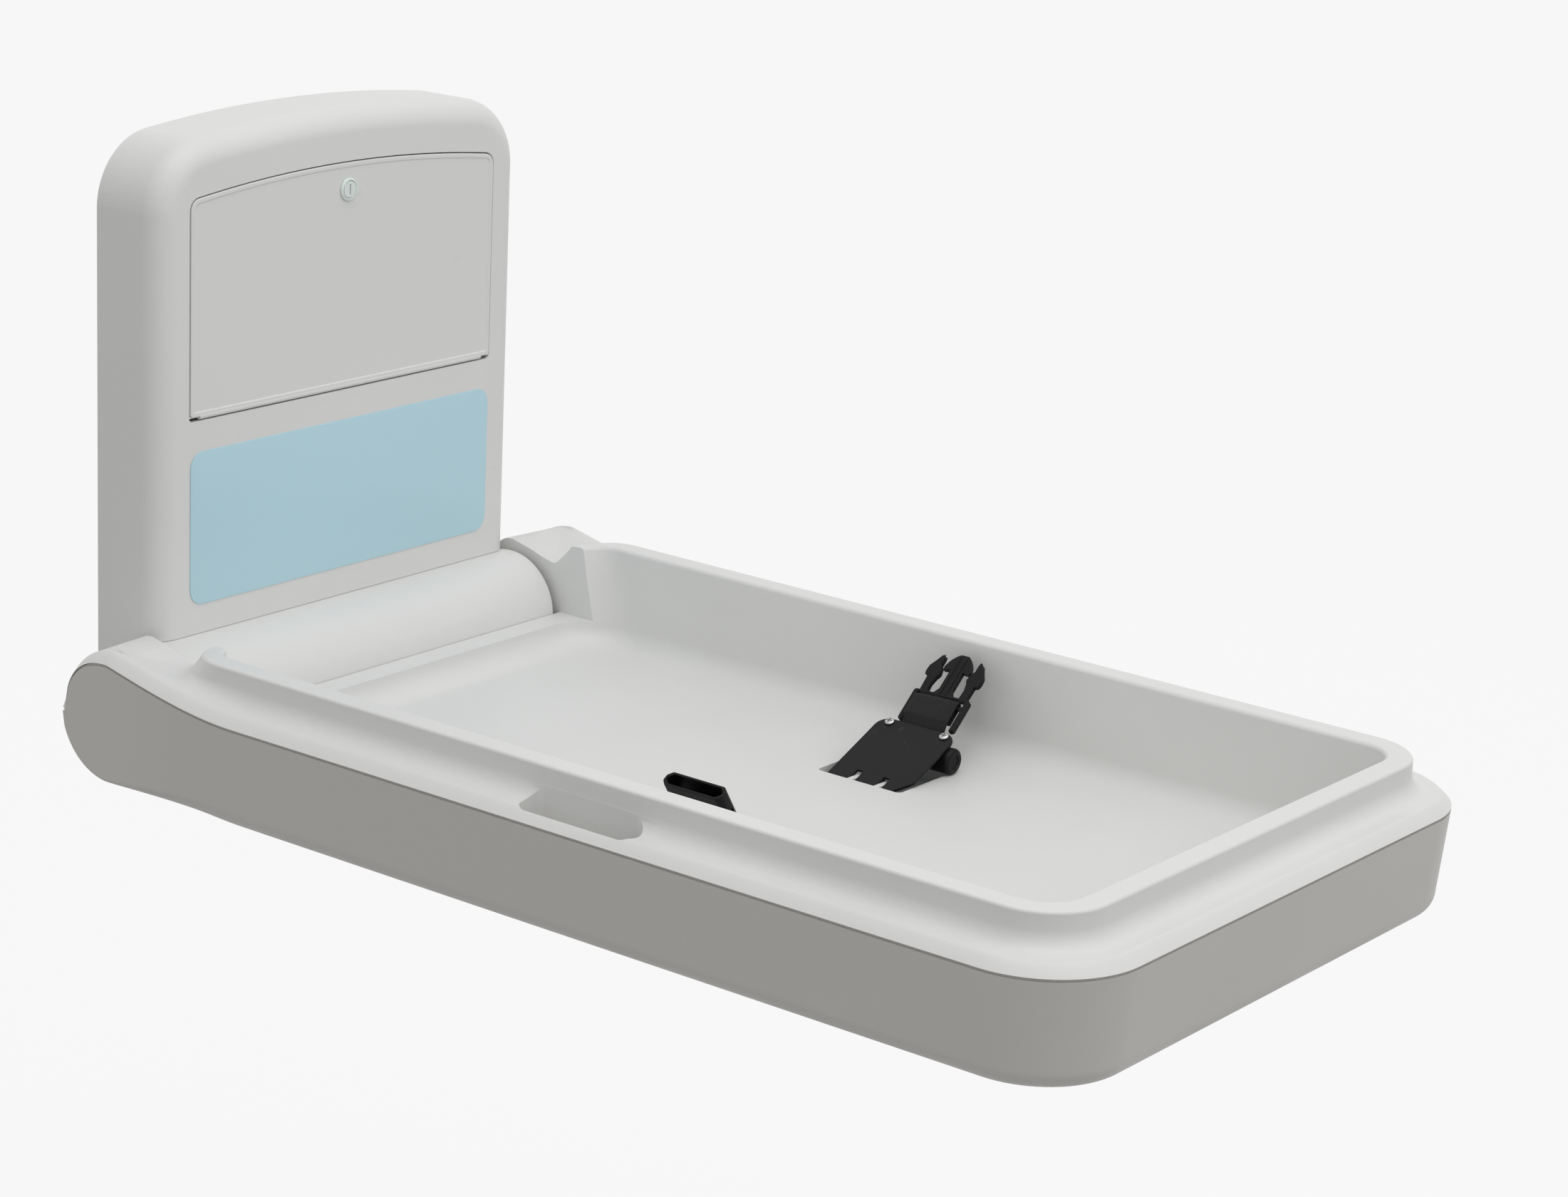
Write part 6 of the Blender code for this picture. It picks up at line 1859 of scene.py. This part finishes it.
            def place(a: np.ndarray, b: np.ndarray, off: np.ndarray) -> Points:
                return self.on_plate(self.screw_along + a, out + b, self.thick + GAP + off)

            head = spun(f"screw_head_{number}", profile, place, sides=48)
            for a, b in ((long, wide), (wide, long)):
                slot = round_rectangle((-a, -b), (a, b), wide * self.cross_round, steps=3)
                cut(head, slab("screw_slot", slot, place, rise * self.cross_floor, 2 * rise))
            self.dress(head, Body.FAR_STRAP, "bright_screw", f"plate_screw_{number}")

    def reel(self) -> None:
        """Makes the strap's round reel under the plate."""
        half, r = self.reel_long / 2, self.reel_r
        soft = r / 4
        end = arc((r - soft, half - soft), soft, 0, QUARTER, steps=6).tolist()
        end += [(r * self.reel_rim_r, half), (r * self.reel_hub_r, half - self.reel_hub_deep)]
        centre = self.on_plate(self.reel_along, self.reel_out, -r - GAP)
        reel = turned("reel", flipped(end).tolist() + end, centre, (0, 1, 0), sides=64)
        self.dress(reel, Body.FAR_STRAP, "black_plastic", "strap_reel", weighted=False)

    def male_buckle(self) -> None:
        """Makes the buckle's frame, cross bar, barbed guide and two barbed prongs.

        The outlines of the guide and of a prong are rows of (along, across), on one side.
        """
        half, long, side = self.buckle_half, self.buckle_long, self.side_wide
        high, soft = self.buckle_thick / 2, self.buckle_soft
        outline = round_rectangle((0.0, -half), (long, half), self.buckle_corner_r, steps=6)
        buckle = slab("male_buckle", outline, self.on_buckle, -high, high, soft)
        window = round_rectangle((-side, side - half), (self.slot_top, half - side), soft, steps=3)
        cut(buckle, slab("window", window, self.on_buckle, -high - side, high + side))

        def add(name: str, outline: Points, low: float, high: float, soft: float) -> None:
            """Joins a flat piece of that thickness to the frame."""
            join(buckle, slab(name, outline, self.on_buckle, low, high, soft))

        thin, edge = self.bar_thick / 2, side / 2 - half
        bar = both_sides([(self.bar_along, edge), (self.bar_along + self.bar_wide, edge)])
        add("bar", bar, -thin, thin, self.prong_soft)
        root, thin = long - side / 2, self.prong_thick / 2
        guide = [(root, -0.0108), (root + 0.0022, -0.0080), (root + 0.0062, -0.0056)]
        guide += [(0.0490, -0.0055), (0.0488, -0.0058), (0.0482, -0.0108), (0.0510, -0.0116)]
        guide += [(0.0560, -0.0098), (0.0592, -0.0078), (0.0620, -0.0052), (0.0634, -0.0032)]
        add("guide", both_sides(guide), -thin, thin, soft)
        for c in (-self.rib_x, self.rib_x):
            low = (root + 2 * self.rib_half, c - self.rib_half)
            high, radius = (self.rib_end, c + self.rib_half), self.rib_round * self.rib_half
            rib = round_rectangle(low, high, radius, steps=3)
            add("rib", rib, self.rib_low, self.rib_high, soft / 2)
        prong = [(root, -0.0193), (0.0400, -0.0197), (0.0412, -0.0222), (0.0440, -0.0230)]
        prong += [(0.0490, -0.0226), (0.0540, -0.0196), (0.0588, -0.0172), (0.0598, -0.0156)]
        prong += [(0.0575, -0.0150), (0.0520, -0.0150), (0.0495, -0.0132), (0.0440, -0.0120)]
        prong += [(0.0405, -0.0136), (0.0350, -0.0148), (root, -0.0142)]
        for outline in (prong, flipped(prong)):
            add("prong", outline[::-1], -thin, thin, self.prong_soft)
        self.dress(buckle, Body.FAR_STRAP, "black_plastic", "buckle_male")

    def webbing(self) -> None:
        """Makes the strap up from the reel, over the frame's end and back round its bar.

        The two fields for its way beside the bar are in radii of its turn round the bar.
        """
        clear = 2 * GAP + self.web_thick / 2
        middle = self.bar_along + self.bar_wide / 2
        radius = self.bar_thick / 2 + clear
        end = self.bar_along + self.bar_wide + GAP
        path = [(a * radius, b * radius) for a, b in self.web_up]
        path += [(middle, radius), *arc((end, 0.0), radius, QUARTER, -QUARTER, steps=12).tolist()]
        path += [(middle, -radius), (self.web_down[0] * radius, self.web_down[1] * radius)]
        start = self.on_plate(self.reel_along, 0.0, -self.reel_r - GAP)
        stop = self.on_buckle(path[0][0], 0.0, path[0][1])
        slant = self.web_room / 2 * abs(math.sin(self.buckle_turn))
        x0, z0 = start[0] + self.reel_r + clear + slant, start[2] + SEAM_BELOW_ORIGIN
        rise, lean = (stop[2] + SEAM_BELOW_ORIGIN - z0) / 3, (stop[0] - x0) / 3
        c, s = math.cos(self.buckle_tilt), math.sin(self.buckle_tilt)
        foot = []
        for x, z in ((x0, z0), (x0, z0 + rise), (x0 + lean, z0 + 2 * rise)):
            dx, dz = x - self.buckle_x, z + self.buckle_below
            foot.append(((dx * c + dz * s) / math.cos(self.buckle_turn), dz * c - dx * s))
        strap = Strap(self.palette, self.web_wide, self.web_thick, self.web_shift)
        strap.build("far_webbing", foot + path, self.on_buckle, Body.FAR_STRAP, "webbing_far")

    def build(self) -> None:
        """Makes the pieces in order."""
        self.plate()
        self.screws()
        self.reel()
        self.male_buckle()
        self.webbing()


@dataclass
class NearStrap(Assembly):
    """The near strap: the female half of the buckle and its webbing round the anchor's bar."""

    x: float = 0.095
    below: float = 0.035
    out: float = 0.4955
    lean: float = math.radians(123)
    long: float = 0.045
    wide: float = 0.050
    thick: float = 0.012
    chamfer: float = 0.0035
    side_soft: float = 0.0007
    end_soft: float = 0.0006
    mouth_deep: float = 0.030
    wall: float = 0.0018
    slot_deep: float = 0.010
    web_room: float = 0.040
    web_thick: float = 0.0014
    anchor_x: float = 0.097
    pocket_floor: float = -0.057
    bar_rise: float = 0.0062
    bar_r: float = 0.0018
    bend: Pair = (0.3, 0.6)

    def on_socket(self, along: np.ndarray, across: np.ndarray, off: np.ndarray) -> Points:
        """World points from along, across and off the socket's middle plane."""
        c, s = math.cos(self.lean), math.sin(self.lean)
        x = -self.x + along * c + off * s
        return at(x, self.out + across, along * s - off * c - self.below)

    def on_webbing(self, x: np.ndarray, across: np.ndarray, height: np.ndarray) -> Points:
        """World points from X, across the strap and the height."""
        return at(x, self.out + across, height)

    def section(self, along: float, shrink: float) -> Points:
        """The socket's eight-sided section at a place along it, drawn in by an amount."""
        wide, deep, slope = self.wide / 2 - shrink, self.thick / 2 - shrink, self.chamfer
        shape = [(wide, slope - deep), (wide, deep - slope)]
        shape += [(wide - slope, deep), (slope - wide, deep)]
        shape = np.array(shape + [(-a, -b) for a, b in shape])
        ahead = self.side_soft * unit(np.roll(shape, -1, axis=0) - shape)
        behind = self.side_soft * unit(np.roll(shape, 1, axis=0) - shape)
        rows = [shape + behind, shape + (ahead + behind) / 4, shape + ahead]
        across, off = np.stack(rows, axis=1).reshape(-1, 2).T
        return self.on_socket(along, across, off)

    def socket(self) -> None:
        """Makes the socket with its mouth, its strap slot and its side windows."""
        soft = self.end_soft
        rows = [(0.0, soft), (soft * ROUND_MIDDLE, soft * ROUND_MIDDLE), (soft, 0.0)]
        rows += [(self.long - a, shrink) for a, shrink in reversed(rows)]
        socket = loft("socket", [self.section(*row) for row in rows])
        start = self.long - self.mouth_deep
        ends = (start, self.long + OVERRUN)
        cut(socket, loft("mouth", [self.section(end, self.wall) for end in ends]))

        def carve(name: str, low: float, high: float, half: float, deep: float) -> None:
            """Cuts a straight slot between two places along the socket."""
            outline = both_sides([(low, -half), (high, -half)])
            cut(socket, slab(name, outline, self.on_socket, -deep, deep))

        half, deep = self.web_room / 2 + GAP, self.web_thick / 2 + GAP
        carve("strap_slot", -OVERRUN, self.slot_deep, half, deep)
        half, deep = self.wide / 2 + OVERRUN, self.thick / 2 - self.chamfer - soft
        carve("side_windows", start, start + self.mouth_deep / 2, half, deep)
        self.dress(socket, Body.NEAR_STRAP, "black_plastic", "buckle_female")

    def webbing(self) -> None:
        """Makes the strap round the anchor's bar and up into the socket."""
        radius = self.bar_r + GAP + self.web_thick / 2
        centre = (-self.anchor_x, self.pocket_floor + self.bar_rise)
        path = arc(centre, radius, -2 * QUARTER, 0, steps=12).tolist()
        ends = (-self.slot_deep / 2, self.slot_deep - OVERRUN)
        inside = [self.on_socket(along, 0.0, 0.0) for along in ends]
        inside = [(x, z + SEAM_BELOW_ORIGIN) for x, _, z in inside]
        (x0, z0), (x1, z1) = path[-1], inside[0]
        path += [(mix(x0, x1, self.bend[0]), mix(z0, z1, self.bend[1])), *inside]
        strap = Strap(self.palette)
        strap.build("near_webbing", path, self.on_webbing, Body.NEAR_STRAP, "webbing_near")

    def build(self) -> None:
        """Makes the socket and its webbing."""
        self.socket()
        self.webbing()


# Studio


@dataclass
class Studio:
    """The floor, the soft lights, the world and the camera at the photograph's view."""

    place: tuple[float, float, float] = (-2.01141, -1.98729, 0.6806)
    azimuth: float = -52.997
    elevation: float = 16.1513
    roll: float = 2.7456
    lens: float = 89.24
    sensor: float = 36.0
    clip: tuple[float, float] = (0.05, 60.0)
    floor_z: float = -0.75
    floor_half: float = 12.0
    floor_tone: float = 0.50
    floor_rough: float = 0.9
    floor_glow: float = 0.9
    fill: float = 0.56
    aim: tuple[float, float, float] = (0.0, -0.40, -0.10)
    light_size: float = 1.8

    def camera(self) -> None:
        """Sets the camera: its axes are turned by azimuth, elevation and roll."""
        a, e, r = (math.radians(v) for v in (self.azimuth, self.elevation, self.roll))
        back = np.array([math.sin(a) * math.cos(e), -math.cos(a) * math.cos(e), math.sin(e)])
        right = np.array([math.cos(a), math.sin(a), 0.0])
        up = np.cross(back, right)
        c, s = math.cos(r), math.sin(r)
        axes = np.array([c * right + s * up, -s * right + c * up, back]).T
        data = bpy.data.cameras.new("camera")
        data.lens = self.lens
        data.sensor_width = self.sensor
        data.sensor_fit = "HORIZONTAL"
        data.clip_start, data.clip_end = self.clip
        made = bpy.data.objects.new("camera", data)
        bpy.context.scene.collection.objects.link(made)
        turn = Matrix(axes.tolist()).to_4x4()
        made.matrix_world = Matrix.Translation(self.place) @ turn
        bpy.context.scene.camera = made

    def light(self, name: str, place: Sequence[float], power: float) -> None:
        """A square soft light at a place, aimed at the part."""
        data = bpy.data.lights.new(name, "AREA")
        data.shape = "SQUARE"
        data.size = self.light_size
        data.energy = power
        made = bpy.data.objects.new(name, data)
        way = Vector(self.aim) - Vector(place)
        made.rotation_euler = way.to_track_quat("-Z", "Y").to_euler()
        made.location = place
        bpy.context.scene.collection.objects.link(made)

    def world(self) -> None:
        """A plain pale world that shows white to the camera and to reflections."""
        made = bpy.data.worlds.new("studio")
        made.use_nodes = True
        bpy.context.scene.world = made
        wiring = Wiring(made.node_tree)
        made.node_tree.nodes.clear()
        through = wiring.add("ShaderNodeLightPath").outputs["Is Transmission Ray"]
        seen = wiring.math("MAXIMUM", wiring.seen(), through)
        strength = wiring.ramp(seen, (0.0, 1.0), (self.fill, 1.0))
        sky = wiring.add("ShaderNodeBackground", {"Color": WHITE, "Strength": strength})
        end = wiring.add("ShaderNodeOutputWorld")
        wiring.tree.links.new(sky.outputs[0], end.inputs["Surface"])

    def floor(self) -> None:
        """A wide pale floor, far under the tray, that keeps a soft shadow."""
        half = self.floor_half
        x, y = np.meshgrid([-half, half], [-half, half], indexing="ij")
        points = np.stack([x.ravel(), y.ravel(), np.full(4, self.floor_z)], axis=1)
        made = mesh("floor", points, np.array([[0, 2, 3, 1]]))
        finish = Finish("floor", (self.floor_tone,) * 3, self.floor_rough)
        material, wiring = finish.start(Specular_IOR_Level=0.0)
        shader = material.node_tree.nodes["Principled BSDF"]
        inputs = {"Base Color": (*finish.colour, 1.0), "Roughness": finish.roughness}
        wiring.put(shader, inputs)
        share = wiring.math("MULTIPLY", wiring.seen(), self.floor_glow)
        glow = wiring.add("ShaderNodeEmission", {"Color": WHITE, "Strength": 1.0})
        ends = {"Fac": share, 1: shader.outputs[0], 2: glow.outputs[0]}
        both = wiring.add("ShaderNodeMixShader", ends)
        wiring.put(material.node_tree.nodes["Material Output"], {"Surface": both.outputs[0]})
        made.data.materials.append(material)

    def build(self) -> None:
        """Sets the view transform and makes everything."""
        bpy.context.scene.view_settings.view_transform = "Standard"
        self.camera()
        self.world()
        self.floor()
        self.light("overhead", (-0.25, -0.95, 1.9), power=16.0)
        self.light("front_right", (0.8, -3.0, 1.9), power=13.0)


def main() -> None:
    """Builds the studio and the pieces in order."""
    logging.basicConfig(level=logging.INFO, format="%(name)s %(message)s")
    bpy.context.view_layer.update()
    Studio().build()
    palette = Palette()
    palette.dress_solids(frame["nodes"], frame["record"])
    TrayMoulding(palette).build()
    TrayShell(palette).build()
    WallHousing(palette).build()
    HingeBarrel(palette).build()
    LinerDoor(palette).build()
    DoorLock(palette).build()
    LabelPanel(palette).build()
    FarStrap(palette).build()
    NearStrap(palette).build()


if __name__ == "__main__":
    main()
